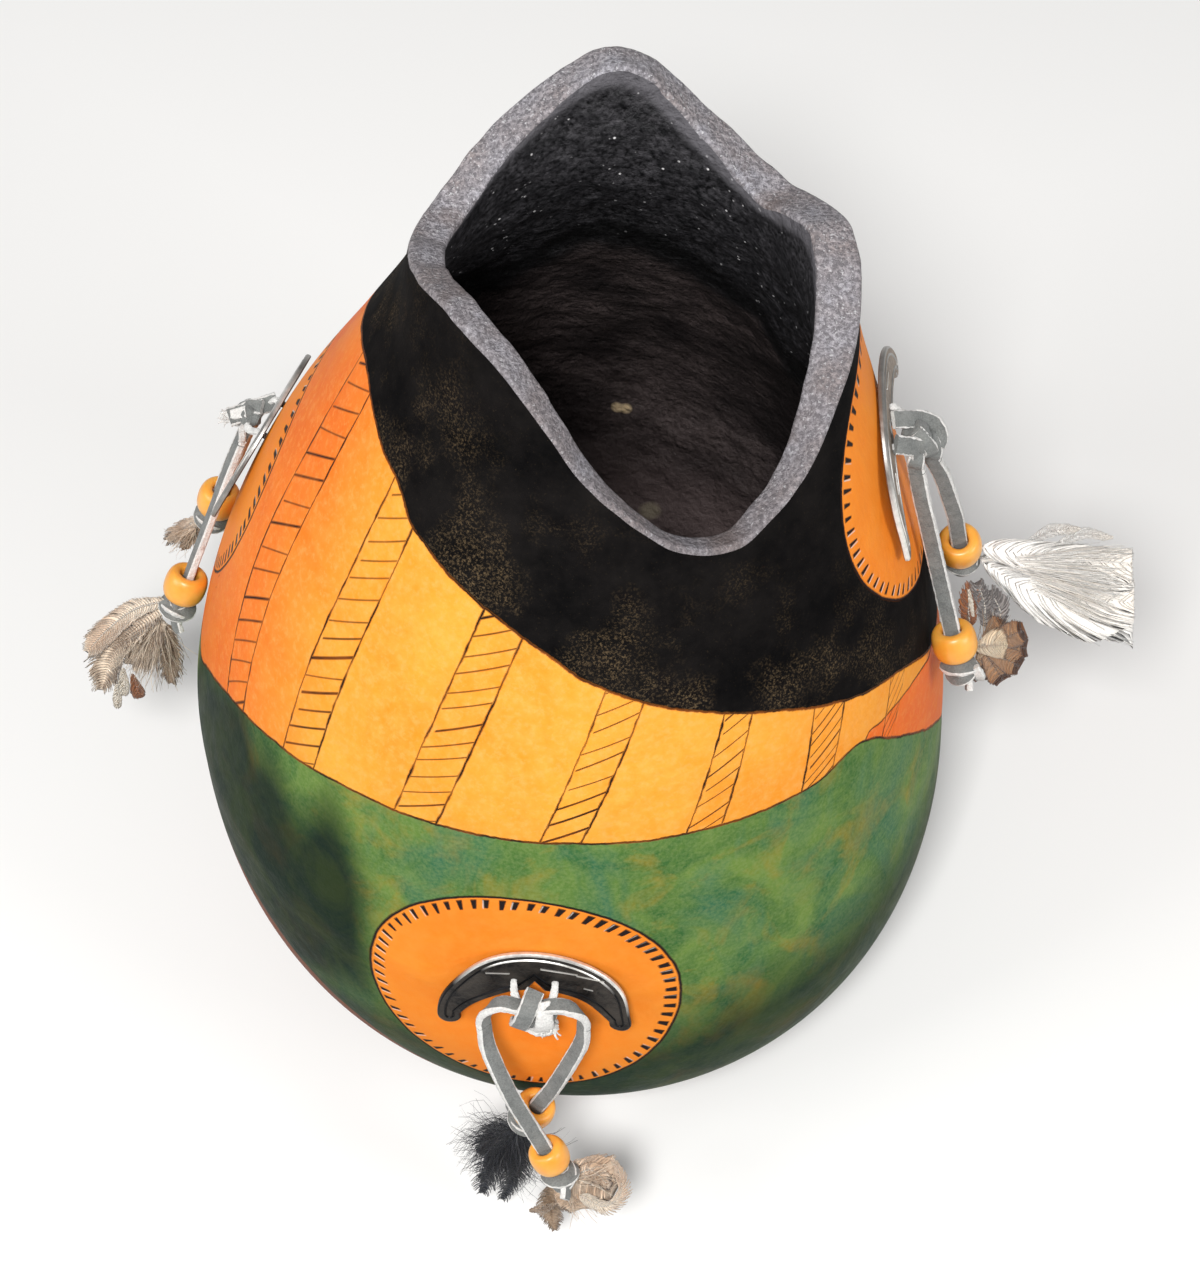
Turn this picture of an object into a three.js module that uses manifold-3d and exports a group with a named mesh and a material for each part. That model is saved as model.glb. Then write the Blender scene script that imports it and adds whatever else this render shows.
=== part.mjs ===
// A decorated gourd vessel: one open gourd shell with a wavy cut rim, and three crescent plates
// that suede lace lashes to it through drilled holes. The two ends of each lace hang as tails,
// and each tail carries a sliding bead, a stopper knot and a bunch of feathers.
// Millimetres, +Z up, the origin in the middle of the flat foot. Bearings are degrees round the
// vertical, 0 at +X and -90 at the front. Distances on the skin are written as
// [across, drop, lift]: along the skin to the right, down from the lashing, and out from the skin.

import * as THREE from 'three';
import { mergeVertices } from 'three/addons/utils/BufferGeometryUtils.js';
import Module from 'manifold-3d';

const wasm = await Module();
wasm.setup();

// Outer skin of the gourd
const bellyRadius = 75.6;
const bellyHeight = 57;
const bellyReach = 64;
const bellyFullness = 2.4;
const neckRadius = 39.5;
const neckHeight = 185;
const shoulderCurve = [[0, 1], [0.1, 0.985], [0.3, 0.835], [0.49, 0.62], [0.69, 0.31], [0.88, 0.04], [1, 0]];
const centreLine = [
  [0, 0, 0], [20, 0.6, 0], [45, -0.8, 4.2], [70, -1.9, 8.8],
  [120, 1, 11.5], [165, 7.6, 18], [200, 14.2, 28.5], [230, 19, 36],
];

// Cut rim: its mean height, and the wave and the wall thickness against bearing
const rimHeight = 176;
const rimWave = [
  [-95, -4], [-67, -15], [-43, -11], [-27, -5], [-8, -1.5], [16, 2], [45, -4], [66, 1],
  [97, 13], [124, 7], [152, 0], [180, 7], [212, 15], [236, 12],
];
const wallThickness = 6.2;
const wallVariation = [[-70, -0.9], [10, 2], [96, 0.7], [180, 0.2]];
const rimRounding = 1.2;
const floorThickness = 8.2;

// Suede lace, its drilled holes and the running gap between pieces that touch
const laceWidth = 3.2;
const laceThickness = 1.5;
const holeRadius = 2.2;
const eyeSpacing = 6.6;
const gap = 0.3;

// Crescent plate: two arcs, rounded horns, a raised border and a notch between the lace eyes
const crescentRadius = 19.2;
const innerRadius = 17;
const innerDrop = 8.4;
const hornRadius = 2.4;
const hornDrop = 0.3;
const eyeHeight = 12.8;
const plateThickness = 1.2;
const borderWidth = 1.3;
const borderHeight = 0.3;
const notchWidth = 3.4;
const notchDepth = 3.2;

// Beads and stopper knots
const beadDiameter = 8.8;
const beadLength = 6.5;
const beadCrown = 1.6;
const boreClearance = 0.3;
const stopperRadius = 3;
const stubLength = 5;

// The knot on each plate
const knotCentre = [-0.5, -5.8, 5.2];
const knotHalf = [3.6, 4.1, 2.3];

// A tail hinges at its root, where the lace leaves the knot
const liftAngle = 60;

const lashings = {
  front: { bearing: -95, height: 76.9, tilt: 2.4 },
  right: { bearing: -1.5, height: 145, tilt: 13 },
  left: { bearing: 156, height: 112, tilt: -4 },
};

// Routes of the six tails, each with the far tip of its feathers and the sideways lean of the
// stopper knot's cut end in degrees
const tails = [
  {
    name: 'front_near', lashing: 'front', root: [-8.1, 9.1, 6.9],
    bends: [[-7.5, 12.5, 8.2], [-5.6, 17, 10.6], [-2.9, 24.5, 12.6]], bead: [2, 38, 15.6],
    tip: [8.7, 56, 22.8], feathers: 'tan', stubLean: -65,
  },
  {
    name: 'front_rear', lashing: 'front', root: [9.3, 8.8, 5.4],
    bends: [[9, 13.5, 5.4], [6.4, 20.6, 5.7], [2.6, 29.8, 5.6]], bead: [-1.9, 42, 4.9],
    tip: [-10.3, 58.7, 25.8], feathers: 'black', stubLean: -60,
  },
  {
    name: 'right_near', lashing: 'right', root: [-1.6, 11.5, 3.8],
    bends: [[-2.6, 15.5, 3.5], [-4.1, 22, 3.3], [-5.5, 30.2, 3.2]], bead: [-11.8, 49.2, 4.9],
    tip: [-6.5, 60.5, 17.5], feathers: 'brown', stubLean: -25,
  },
  {
    name: 'right_far', lashing: 'right', root: [2, 13.5, 6.5],
    bends: [[2.7, 19, 6.9], [2.5, 24.8, 7], [2.6, 30.5, 7.1]], bead: [5.3, 44.4, 6.2],
    tip: [1.2, 54.7, 38.2], feathers: 'white', stubLean: 25,
  },
  {
    name: 'left_near', lashing: 'left', root: [1.2, 12, 4],
    bends: [[3.2, 15, 3.8], [7, 19, 3.5], [11.2, 24, 3.4]], bead: [18.3, 39.9, 4.9],
    tip: [29, 53, 24.7], feathers: 'grey', stubLean: 40,
  },
  {
    name: 'left_far', lashing: 'left', root: [-3.5, 12, 4.4],
    bends: [[-4.6, 16.5, 4.8], [-4.6, 22, 5], [-3.4, 28, 5.2]], bead: [-1.2, 39, 5.8],
    tip: [7.3, 47, 12.8], feathers: 'small', stubLean: -40,
  },
];

// Feather bunches: [turn in the fan in degrees, length as a share, width] of each feather
const bunches = {
  tan: { blades: [[-34, 0.72, 7], [0, 1, 8.5], [36, 0.8, 7.5]], square: 0 },
  black: { blades: [[-30, 0.85, 9], [4, 1, 9], [32, 0.7, 9]], square: 0 },
  brown: { blades: [[-58, 0.8, 6.5], [-20, 1, 7.5], [20, 1, 7.5], [58, 0.85, 6.5]], square: 0 },
  white: { blades: [[-9, 0.9, 11], [7, 1, 13]], square: 1 },
  grey: { blades: [[-20, 0.8, 8.5], [4, 1, 11], [26, 0.78, 8]], square: 0 },
  small: { blades: [[-18, 0.85, 5.5], [14, 1, 6]], square: 0 },
};
const featherThickness = 1.1;
const quillWidth = 1.8;

// Facets
const shellSides = 60;
const outerLevels = [0, 4, 9, 16, 24, 33, 43, 54, 66, 78, 90, 102, 114, 125, 136];
const innerLevels = [3, 12, 20, 30, 43, 57, 71, 86, 101, 116, 131];
const splitHeight = 142;
const neckSteps = 7;

const rad = THREE.MathUtils.degToRad;

// Value at x of a smooth curve through rows of [x, value, ...]
function through(rows, x, column = 1) {
  const last = rows.length - 1;
  const at = Math.min(Math.max(x, rows[0][0]), rows[last][0]);
  let i = 0;
  while (i < last - 1 && at > rows[i + 1][0]) i += 1;
  const slope = (k) => {
    const before = rows[Math.max(k - 1, 0)];
    const after = rows[Math.min(k + 1, last)];
    return (after[column] - before[column]) / (after[0] - before[0]);
  };
  const span = rows[i + 1][0] - rows[i][0];
  const t = (at - rows[i][0]) / span;
  const a = rows[i][column];
  const b = rows[i + 1][column];
  return a * (2 * t ** 3 - 3 * t ** 2 + 1) + b * (3 * t ** 2 - 2 * t ** 3)
    + span * (slope(i) * (t ** 3 - 2 * t ** 2 + t) + slope(i + 1) * (t ** 3 - t ** 2));
}

// The same round a full turn of bearings
function around(rows, bearing) {
  const turn = 360;
  const start = rows[0][0];
  const wrapped = start + ((bearing - start) % turn + turn) % turn;
  const before = rows.slice(-2).map(([x, y]) => [x - turn, y]);
  const after = rows.slice(0, 2).map(([x, y]) => [x + turn, y]);
  return through([...before, ...rows, ...after], wrapped);
}

function skinRadius(z) {
  if (z < bellyHeight) {
    const share = (bellyHeight - z) / bellyReach;
    return bellyRadius * (1 - share ** bellyFullness) ** (1 / bellyFullness);
  }
  const climb = (z - bellyHeight) / (neckHeight - bellyHeight);
  return neckRadius + (bellyRadius - neckRadius) * through(shoulderCurve, climb);
}

function skinPoint(bearing, z) {
  const r = skinRadius(z);
  const x = through(centreLine, z, 1) + r * Math.cos(rad(bearing));
  const y = through(centreLine, z, 2) + r * Math.sin(rad(bearing));
  return new THREE.Vector3(x, y, z);
}

function skinAcross(bearing) {
  return new THREE.Vector3(-Math.sin(rad(bearing)), Math.cos(rad(bearing)), 0);
}

function skinNormal(bearing, z) {
  const step = 0.25;
  const low = Math.max(z - step, 0);
  const up = skinPoint(bearing, z + step).sub(skinPoint(bearing, low));
  return skinAcross(bearing).cross(up).normalize();
}

const rimAt = (bearing) => rimHeight + around(rimWave, bearing);
const wallAt = (bearing) => wallThickness + around(wallVariation, bearing);

function inset(bearing, z, depth) {
  return skinPoint(bearing, z).addScaledVector(skinNormal(bearing, z), -depth);
}

// One closed skin: up the outside, over the sanded rim, down the inside to the floor
function shellGeometry() {
  const rings = [];
  const bearings = Array.from({ length: shellSides }, (_, k) => k * 360 / shellSides);
  const ring = (place) => rings.push(bearings.map(place));
  const climb = (bearing, step) => {
    const top = rimAt(bearing) - rimRounding;
    return splitHeight + (top - splitHeight) * step / neckSteps;
  };
  for (const z of outerLevels) ring((b) => skinPoint(b, z));
  for (let s = 0; s <= neckSteps; s += 1) ring((b) => skinPoint(b, climb(b, s)));
  ring((b) => inset(b, rimAt(b), rimRounding));
  ring((b) => inset(b, rimAt(b), wallAt(b) - rimRounding));
  for (let s = neckSteps; s >= 0; s -= 1) ring((b) => inset(b, climb(b, s), wallAt(b)));
  for (const z of [...innerLevels].reverse()) ring((b) => inset(b, z, wallAt(b)));
  const points = [new THREE.Vector3(0, 0, 0), ...rings.flat(), new THREE.Vector3(0, 0, floorThickness)];
  const faces = [];
  const id = (r, k) => 1 + r * shellSides + (k % shellSides);
  const top = points.length - 1;
  for (let k = 0; k < shellSides; k += 1) {
    faces.push(0, id(0, k + 1), id(0, k));
    for (let r = 0; r < rings.length - 1; r += 1) {
      faces.push(id(r, k), id(r, k + 1), id(r + 1, k + 1), id(r, k), id(r + 1, k + 1), id(r + 1, k));
    }
    faces.push(id(rings.length - 1, k), id(rings.length - 1, k + 1), top);
  }
  const geometry = new THREE.BufferGeometry().setFromPoints(points);
  geometry.setIndex(faces);
  return geometry;
}

// Closed three.js geometry to a solid for joins and cuts, and back
function solid(geometry, matrix) {
  const bare = geometry.clone();
  bare.deleteAttribute('normal');
  bare.deleteAttribute('uv');
  if (matrix) bare.applyMatrix4(matrix);
  const merged = mergeVertices(bare, 1e-4);
  const index = merged.index.array;
  const corners = [];
  for (let i = 0; i < index.length; i += 3) {
    const [a, b, c] = [index[i], index[i + 1], index[i + 2]];
    if (a !== b && b !== c && c !== a) corners.push(a, b, c);
  }
  const vertProperties = new Float32Array(merged.attributes.position.array);
  const triVerts = new Uint32Array(corners);
  return new wasm.Manifold(new wasm.Mesh({ numProp: 3, vertProperties, triVerts }));
}

function geometryOf(body) {
  const mesh = body.getMesh();
  const geometry = new THREE.BufferGeometry();
  geometry.setAttribute('position', new THREE.BufferAttribute(new Float32Array(mesh.vertProperties), 3));
  geometry.setIndex(new THREE.BufferAttribute(new Uint32Array(mesh.triVerts), 1));
  geometry.computeVertexNormals();
  return geometry;
}

const joined = (parts) => geometryOf(parts.reduce((whole, part) => whole.add(part)));

// Frame of a lashing: x across, y up the skin, z out of it, turned by the plate's tilt
function lashingFrame({ bearing, height, tilt }) {
  const out = skinNormal(bearing, height);
  const across = skinAcross(bearing);
  const up = new THREE.Vector3().crossVectors(out, across);
  const frame = new THREE.Matrix4().makeBasis(across, up, out).setPosition(skinPoint(bearing, height));
  return frame.multiply(new THREE.Matrix4().makeRotationZ(rad(tilt)));
}

// Point on or over the skin, given from a lashing as [across, drop, lift]
function hang({ bearing, height }, [across, drop, lift]) {
  const z = height - drop;
  const turned = bearing + THREE.MathUtils.radToDeg(across / skinRadius(z));
  return inset(turned, z, -lift);
}

const eyes = [-eyeSpacing / 2, eyeSpacing / 2];

function holeSolid(x, from, to, matrix) {
  const bore = new THREE.CylinderGeometry(holeRadius, holeRadius, to - from, 20);
  bore.rotateX(Math.PI / 2);
  bore.translate(x, 0, (from + to) / 2);
  return solid(bore, matrix);
}

function drilledShell() {
  let shell = solid(shellGeometry());
  for (const lashing of Object.values(lashings)) {
    const deep = -2 * (wallAt(lashing.bearing) + gap);
    for (const x of eyes) shell = shell.subtract(holeSolid(x, deep, 3 * gap, lashingFrame(lashing)));
  }
  return geometryOf(shell);
}

// Crescent outline about the middle of the two eyes, drawn in by margin
function crescentShape(margin) {
  const inner = innerRadius + margin;
  const centre = -eyeHeight;
  const hornX = crescentRadius - hornRadius;
  const hornY = centre - hornDrop;
  const innerY = centre - innerDrop;
  const half = Math.asin((notchWidth / 2 + margin) / inner);
  const meet = Math.atan2(hornY + hornRadius * 0.2 - innerY, hornX - hornRadius * 0.8);
  const points = [];
  const arc = (x, y, radius, from, to, steps) => {
    for (let k = 0; k <= steps; k += 1) {
      const angle = from + (to - from) * k / steps;
      points.push(new THREE.Vector2(x + radius * Math.cos(angle), y + radius * Math.sin(angle)));
    }
  };
  arc(0, centre, crescentRadius - margin, 0, Math.PI, 26);
  arc(-hornX, hornY, hornRadius - margin, Math.PI, Math.PI * 1.86, 5);
  arc(0, innerY, inner, Math.PI - meet, Math.PI / 2 + half, 9);
  points.push(new THREE.Vector2(0, innerY + inner + notchDepth + margin * 0.4));
  arc(0, innerY, inner, Math.PI / 2 - half, meet, 9);
  arc(hornX, hornY, hornRadius - margin, -Math.PI * 0.86, 0, 5);
  return new THREE.Shape(points);
}

function crescentGeometry() {
  const flat = { bevelEnabled: false, depth: plateThickness };
  const plate = solid(new THREE.ExtrudeGeometry(crescentShape(0), flat));
  const field = new THREE.ExtrudeGeometry(crescentShape(borderWidth), flat);
  field.translate(0, 0, plateThickness - borderHeight);
  let body = plate.subtract(solid(field));
  for (const x of eyes) body = body.subtract(holeSolid(x, -plateThickness, 2 * plateThickness));
  const geometry = geometryOf(body);
  geometry.translate(0, 0, gap);
  return geometry;
}

// A flat lace swept along a curve, its width starting along the given direction
function laceGeometry(curve, widthAlong, steps) {
  const frames = curve.computeFrenetFrames(steps, false);
  const alongX = widthAlong.dot(frames.normals[0]);
  const alongY = widthAlong.dot(frames.binormals[0]);
  const turn = Math.atan2(alongY, alongX);
  const w = laceWidth / 2;
  const t = laceThickness / 2;
  const bevel = t * 0.4;
  const corners = [
    [w, -t + bevel], [w, t - bevel], [w - bevel, t], [-w + bevel, t],
    [-w, t - bevel], [-w, -t + bevel], [-w + bevel, -t], [w - bevel, -t],
  ];
  const spin = ([x, y]) => new THREE.Vector2(
    x * Math.cos(turn) - y * Math.sin(turn),
    x * Math.sin(turn) + y * Math.cos(turn),
  );
  return new THREE.ExtrudeGeometry(new THREE.Shape(corners.map(spin)), { steps, extrudePath: curve });
}

const curveOf = (points) => new THREE.CatmullRomCurve3(points, false, 'centripetal');

// Where a tail runs: through its bends, then straight through the bead to the stopper knot
function tailRoute(tail) {
  const lashing = lashings[tail.lashing];
  const bends = [tail.root, ...tail.bends].map((place) => hang(lashing, place));
  const bead = hang(lashing, tail.bead);
  const last = bends[bends.length - 1];
  const down = bead.clone().sub(last).normalize();
  const stopperDrop = Math.sqrt((stopperRadius + gap) ** 2 - boreRadius ** 2);
  const stopper = bead.clone().addScaledVector(down, beadLength / 2 + stopperDrop);
  const end = stopper.clone().addScaledVector(down, -stopperRadius - gap);
  const straight = [0.25, 0.5, 0.75, 1].map((share) => last.clone().lerp(end, share));
  const curve = curveOf([...bends, ...straight]);
  return { curve, bead, down, stopper, root: bends[0], heading: curve.getTangent(0) };
}

const boreRadius = Math.hypot(laceWidth, laceThickness) / 2 + boreClearance;

function beadGeometry() {
  const outer = beadDiameter / 2;
  const half = beadLength / 2;
  const profile = [new THREE.Vector2(boreRadius, -half), new THREE.Vector2(outer - beadCrown, -half)];
  const belly = 4;
  for (let k = 1; k < belly; k += 1) {
    const angle = Math.PI * (k / belly - 0.5);
    const x = outer - beadCrown * (1 - Math.cos(angle));
    profile.push(new THREE.Vector2(x, half * Math.sin(angle)));
  }
  profile.push(new THREE.Vector2(outer - beadCrown, half), new THREE.Vector2(boreRadius, half), profile[0]);
  return new THREE.LatheGeometry(profile, 18);
}

// A small overhand knot: a round lump with the lace's cut end standing out below
function stopperGeometry(lean) {
  const lump = solid(new THREE.SphereGeometry(stopperRadius, 12, 8));
  const stub = new THREE.BoxGeometry(laceWidth, stubLength, laceThickness);
  stub.translate(0, -stubLength / 2, 0);
  stub.rotateZ(rad(lean));
  return joined([lump, solid(stub)]);
}

// One feather: a quill that widens to a vane, rounded or cut square at the tip
function featherShape(length, width, square) {
  const half = width / 2;
  const quill = quillWidth / 2;
  const shape = new THREE.Shape();
  shape.moveTo(0, -quill);
  shape.quadraticCurveTo(length * 0.25, -half * 1.15, length * 0.6, -half);
  if (square) {
    shape.lineTo(length, -half * 0.9);
    shape.lineTo(length, half * 0.9);
  } else {
    shape.quadraticCurveTo(length * 0.95, -half * 0.75, length, 0);
    shape.quadraticCurveTo(length * 0.95, half * 0.75, length * 0.6, half);
  }
  shape.quadraticCurveTo(length * 0.25, half * 1.15, 0, quill);
  shape.absarc(0, 0, quill, Math.PI / 2, Math.PI * 1.5, false);
  return shape;
}

// A bunch laid in its own plane: x towards the tip, y across the fan, z out of it
function featherGeometry({ blades, square }, reach) {
  const layers = blades.map(([turn, share, width], k) => {
    const shape = featherShape(reach * share, width, square);
    const blade = new THREE.ExtrudeGeometry(shape, {
      depth: featherThickness, bevelEnabled: false, curveSegments: 4,
    });
    const layer = (k - (blades.length - 1) / 2) * featherThickness * 0.37;
    blade.translate(0, 0, layer - featherThickness / 2);
    blade.rotateZ(rad(turn));
    return solid(blade);
  });
  return joined(layers);
}

const materials = {
  gourd: { color: 0xd9822b, roughness: 0.55, metalness: 0 },
  plate: { color: 0x4a4a48, roughness: 0.35, metalness: 0.9 },
  suede: { color: 0x7d8388, roughness: 0.95, metalness: 0 },
  bead: { color: 0xe8962e, roughness: 0.3, metalness: 0 },
  tan: { color: 0xa48a72, roughness: 0.9, metalness: 0 },
  black: { color: 0x15161a, roughness: 0.9, metalness: 0 },
  brown: { color: 0x7c4a2c, roughness: 0.9, metalness: 0 },
  white: { color: 0xe8d8c0, roughness: 0.9, metalness: 0 },
  grey: { color: 0x9a8c7c, roughness: 0.9, metalness: 0 },
  small: { color: 0x8c7460, roughness: 0.9, metalness: 0 },
};

function piece(name, geometry, finish) {
  const mesh = new THREE.Mesh(geometry, new THREE.MeshStandardMaterial(materials[finish]));
  mesh.name = name;
  return mesh;
}

// The lace's middle: two legs through the eyes and the wall, the run inside, and the knot
// with one wing towards the root of each tail. Local to the lashing.
function knotGeometry(lashing, routes) {
  const toLocal = lashingFrame(lashing).invert();
  const inside = -(wallAt(lashing.bearing) + 2 * gap + laceThickness / 2);
  const [kx, ky, kz] = knotCentre;
  const [hx, hy, hz] = knotHalf;
  const parts = [];
  for (const x of eyes) {
    const leg = curveOf([
      new THREE.Vector3(x, 0, inside), new THREE.Vector3(x, 0, inside / 2), new THREE.Vector3(x, 0, 0),
      new THREE.Vector3(x, 0, kz * 0.45), new THREE.Vector3(x * 0.95, ky * 0.25, kz * 0.8),
      new THREE.Vector3(x * 0.5 + kx, ky * 0.7, kz),
    ]);
    parts.push(solid(laceGeometry(leg, new THREE.Vector3(1, 0, 0), 9)));
  }
  const reach = eyeSpacing + laceWidth;
  parts.push(solid(new THREE.BoxGeometry(reach, laceWidth, laceThickness),
    new THREE.Matrix4().makeTranslation(0, 0, inside)));
  const lump = new THREE.SphereGeometry(1, 14, 10);
  lump.scale(hx, hy, hz);
  lump.translate(kx, ky, kz);
  parts.push(solid(lump));
  for (const route of routes) {
    const start = route.root.clone().addScaledVector(route.heading, -rootGap).applyMatrix4(toLocal);
    const heading = route.heading.clone().transformDirection(toLocal);
    const width = route.across.clone().transformDirection(toLocal);
    const centre = new THREE.Vector3(kx, ky, kz);
    const inner = centre.clone().lerp(start, 0.55).addScaledVector(heading, -laceThickness);
    const wing = curveOf([start, start.clone().addScaledVector(heading, -laceThickness), inner, centre]);
    parts.push(solid(laceGeometry(wing, width, 7)));
  }
  return joined(parts);
}

// Room for the root's corners to turn about the hinge
const rootGap = laceThickness / 2 * Math.sin(rad(liftAngle)) + gap;

const gourd = new THREE.Group();
gourd.add(piece('gourd_shell', drilledShell(), 'gourd'));

for (const [place, lashing] of Object.entries(lashings)) {
  const routes = tails.filter((tail) => tail.lashing === place).map((tail) => {
    const route = tailRoute(tail);
    const turned = lashing.bearing + THREE.MathUtils.radToDeg(tail.root[0] / bellyRadius);
    return { ...route, tail, across: skinAcross(turned) };
  });
  const group = new THREE.Group();
  group.applyMatrix4(lashingFrame(lashing));
  group.add(piece(`crescent_${place}`, crescentGeometry(), 'plate'));
  group.add(piece(`knot_${place}`, knotGeometry(lashing, routes), 'suede'));
  gourd.add(group);

  for (const { tail, curve, bead, down, stopper, root, across } of routes) {
    const steps = Math.ceil(curve.getLength() / (laceWidth * 1.25));
    const lace = piece(`lace_${tail.name}`, laceGeometry(curve, across, steps), 'suede');
    lace.userData = { root, across, down, length: curve.getLength() };
    gourd.add(lace);

    const tip = hang(lashing, tail.tip);
    const aim = tip.clone().sub(stopper);
    const reach = aim.length() - stopperRadius - gap - quillWidth / 2;
    aim.normalize();
    const side = new THREE.Vector3(0, 0, 1).cross(aim).normalize();
    const face = new THREE.Vector3().crossVectors(aim, side);
    const foot = tip.clone().addScaledVector(aim, -reach);

    const up = down.clone().negate();
    const depth = new THREE.Vector3().crossVectors(side, up).normalize();
    const upright = new THREE.Matrix4().makeBasis(new THREE.Vector3().crossVectors(up, depth), up, depth);
    const ring = piece(`bead_${tail.name}`, beadGeometry(), 'bead');
    ring.applyMatrix4(upright.clone().setPosition(bead));
    gourd.add(ring);

    const knot = piece(`stopper_${tail.name}`, stopperGeometry(tail.stubLean), 'suede');
    knot.applyMatrix4(upright.clone().setPosition(stopper));
    gourd.add(knot);

    const fan = featherGeometry(bunches[tail.feathers], reach);
    const bunch = piece(`feathers_${tail.name}`, fan, tail.feathers);
    bunch.applyMatrix4(new THREE.Matrix4().makeBasis(aim, side, face).setPosition(foot));
    gourd.add(bunch);
  }
}

export default gourd;
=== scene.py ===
import math
import random

import bmesh
import bpy
import numpy as np
from mathutils import Matrix, Vector, noise


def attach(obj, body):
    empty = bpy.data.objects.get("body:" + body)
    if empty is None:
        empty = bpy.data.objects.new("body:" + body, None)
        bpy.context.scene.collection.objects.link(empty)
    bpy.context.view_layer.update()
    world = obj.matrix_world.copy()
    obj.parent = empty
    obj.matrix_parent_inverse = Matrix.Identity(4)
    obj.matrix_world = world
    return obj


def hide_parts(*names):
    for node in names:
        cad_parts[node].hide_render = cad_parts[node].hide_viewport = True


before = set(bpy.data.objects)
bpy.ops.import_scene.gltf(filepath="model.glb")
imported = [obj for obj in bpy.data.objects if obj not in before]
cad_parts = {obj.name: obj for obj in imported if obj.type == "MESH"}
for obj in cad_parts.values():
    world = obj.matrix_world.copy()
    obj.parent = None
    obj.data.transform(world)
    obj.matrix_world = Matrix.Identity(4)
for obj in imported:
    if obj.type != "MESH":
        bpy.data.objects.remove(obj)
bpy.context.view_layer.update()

scene = bpy.context.scene
scene.view_settings.view_transform = "Standard"

# Millimetres everywhere below, turned to metres where a mesh is made.
# Bearings are degrees round the vertical, 0 at +X and -90 at the front.
# A place on the skin is (across, drop, lift), counted from the lashing it belongs to.

view = {"place": (4.05, -291.5, 595.4), "tilt": 30.0, "lens": 90.0, "sensor": 36.0}

gourd = {
    "bellyRadius": 75.6,
    "bellyHeight": 57,
    "bellyReach": 64,
    "fullness": 2.4,
    "neckRadius": 39.5,
    "neckHeight": 185,
    "shoulder": [(0, 1), (0.1, 0.985), (0.3, 0.835), (0.49, 0.62), (0.69, 0.31), (0.88, 0.04), (1, 0)],
    "centre": [
        (0, 0, 0), (20, 0.6, 0), (45, -0.8, 4.2), (70, -1.9, 8.8),
        (120, 1, 11.5), (165, 7.6, 18), (200, 14.2, 28.5), (230, 19, 36),
    ],
    "rimHeight": 176,
    "rimWave": [
        (-95, -4), (-67, -15), (-43, -11), (-27, -5), (-8, -1.5), (16, 2), (45, -4), (66, 1),
        (97, 13), (124, 7), (152, 0), (180, 7), (212, 15), (236, 12),
    ],
    "wall": 6.2,
    "wallVariation": [(-70, -0.9), (10, 2), (96, 0.7), (180, 0.2)],
    "floor": 8.2,
}

lace = {"width": 3.2, "thickness": 1.5, "eyeSpacing": 6.6, "gap": 0.3, "beadLength": 6.5, "stopper": 3.0}

lashings = {
    "front": {"bearing": -95, "height": 76.9, "tilt": 2.4},
    "right": {"bearing": -1.5, "height": 145, "tilt": 13},
    "left": {"bearing": 156, "height": 112, "tilt": -4},
}

tails = {  # twist: how far the broad side is turned towards +across, at the root and at the bead, in degrees
    "front_near": {
        "lashing": "front", "body": "tassel_front", "root": (-8.1, 9.1, 6.9),
        "bends": [(-7.5, 12.5, 8.2), (-5.6, 17, 10.6), (-2.9, 24.5, 12.6)],
        "bead": (2, 38, 15.6), "tip": (8.7, 56, 22.8), "stubLean": -65, "twist": (62, 12),
    },
    "front_rear": {
        "lashing": "front", "body": "tassel_front", "root": (9.3, 8.8, 5.4),
        "bends": [(9, 13.5, 5.4), (6.4, 20.6, 5.7), (2.6, 29.8, 5.6)],
        "bead": (-1.9, 42, 4.9), "tip": (-10.3, 58.7, 25.8), "stubLean": -60, "twist": (-62, -18),
    },
    "right_near": {
        "lashing": "right", "body": "tassel_right_near", "root": (-1.6, 11.5, 3.8),
        "bends": [(-2.6, 15.5, 3.5), (-4.1, 22, 3.3), (-5.5, 30.2, 3.2)],
        "bead": (-11.8, 49.2, 4.9), "tip": (-6.5, 60.5, 17.5), "stubLean": -25, "twist": (-100, -80),
    },
    "right_far": {
        "lashing": "right", "body": "tassel_right_far", "root": (2, 13.5, 6.5),
        "bends": [(2.7, 19, 6.9), (2.5, 24.8, 7), (2.6, 30.5, 7.1)],
        "bead": (5.3, 44.4, 6.2), "tip": (1.2, 54.7, 38.2), "stubLean": 25, "twist": (-100, -80),
    },
    "left_near": {
        "lashing": "left", "body": "tassel_left_near", "root": (1.2, 12, 4),
        "bends": [(3.2, 15, 3.8), (7, 19, 3.5), (11.2, 24, 3.4)],
        "bead": (18.3, 39.9, 4.9), "tip": (29, 53, 24.7), "stubLean": 40, "twist": (26, 18),
    },
    "left_far": {
        "lashing": "left", "body": "tassel_left_far", "root": (-3.5, 12, 4.4),
        "bends": [(-4.6, 16.5, 4.8), (-4.6, 22, 5), (-3.4, 28, 5.2)],
        "bead": (-1.2, 39, 5.8), "tip": (7.3, 47, 12.8), "stubLean": -40, "twist": (78, 78),
    },
}


# ---- the gourd's skin as a formula ----

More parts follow.
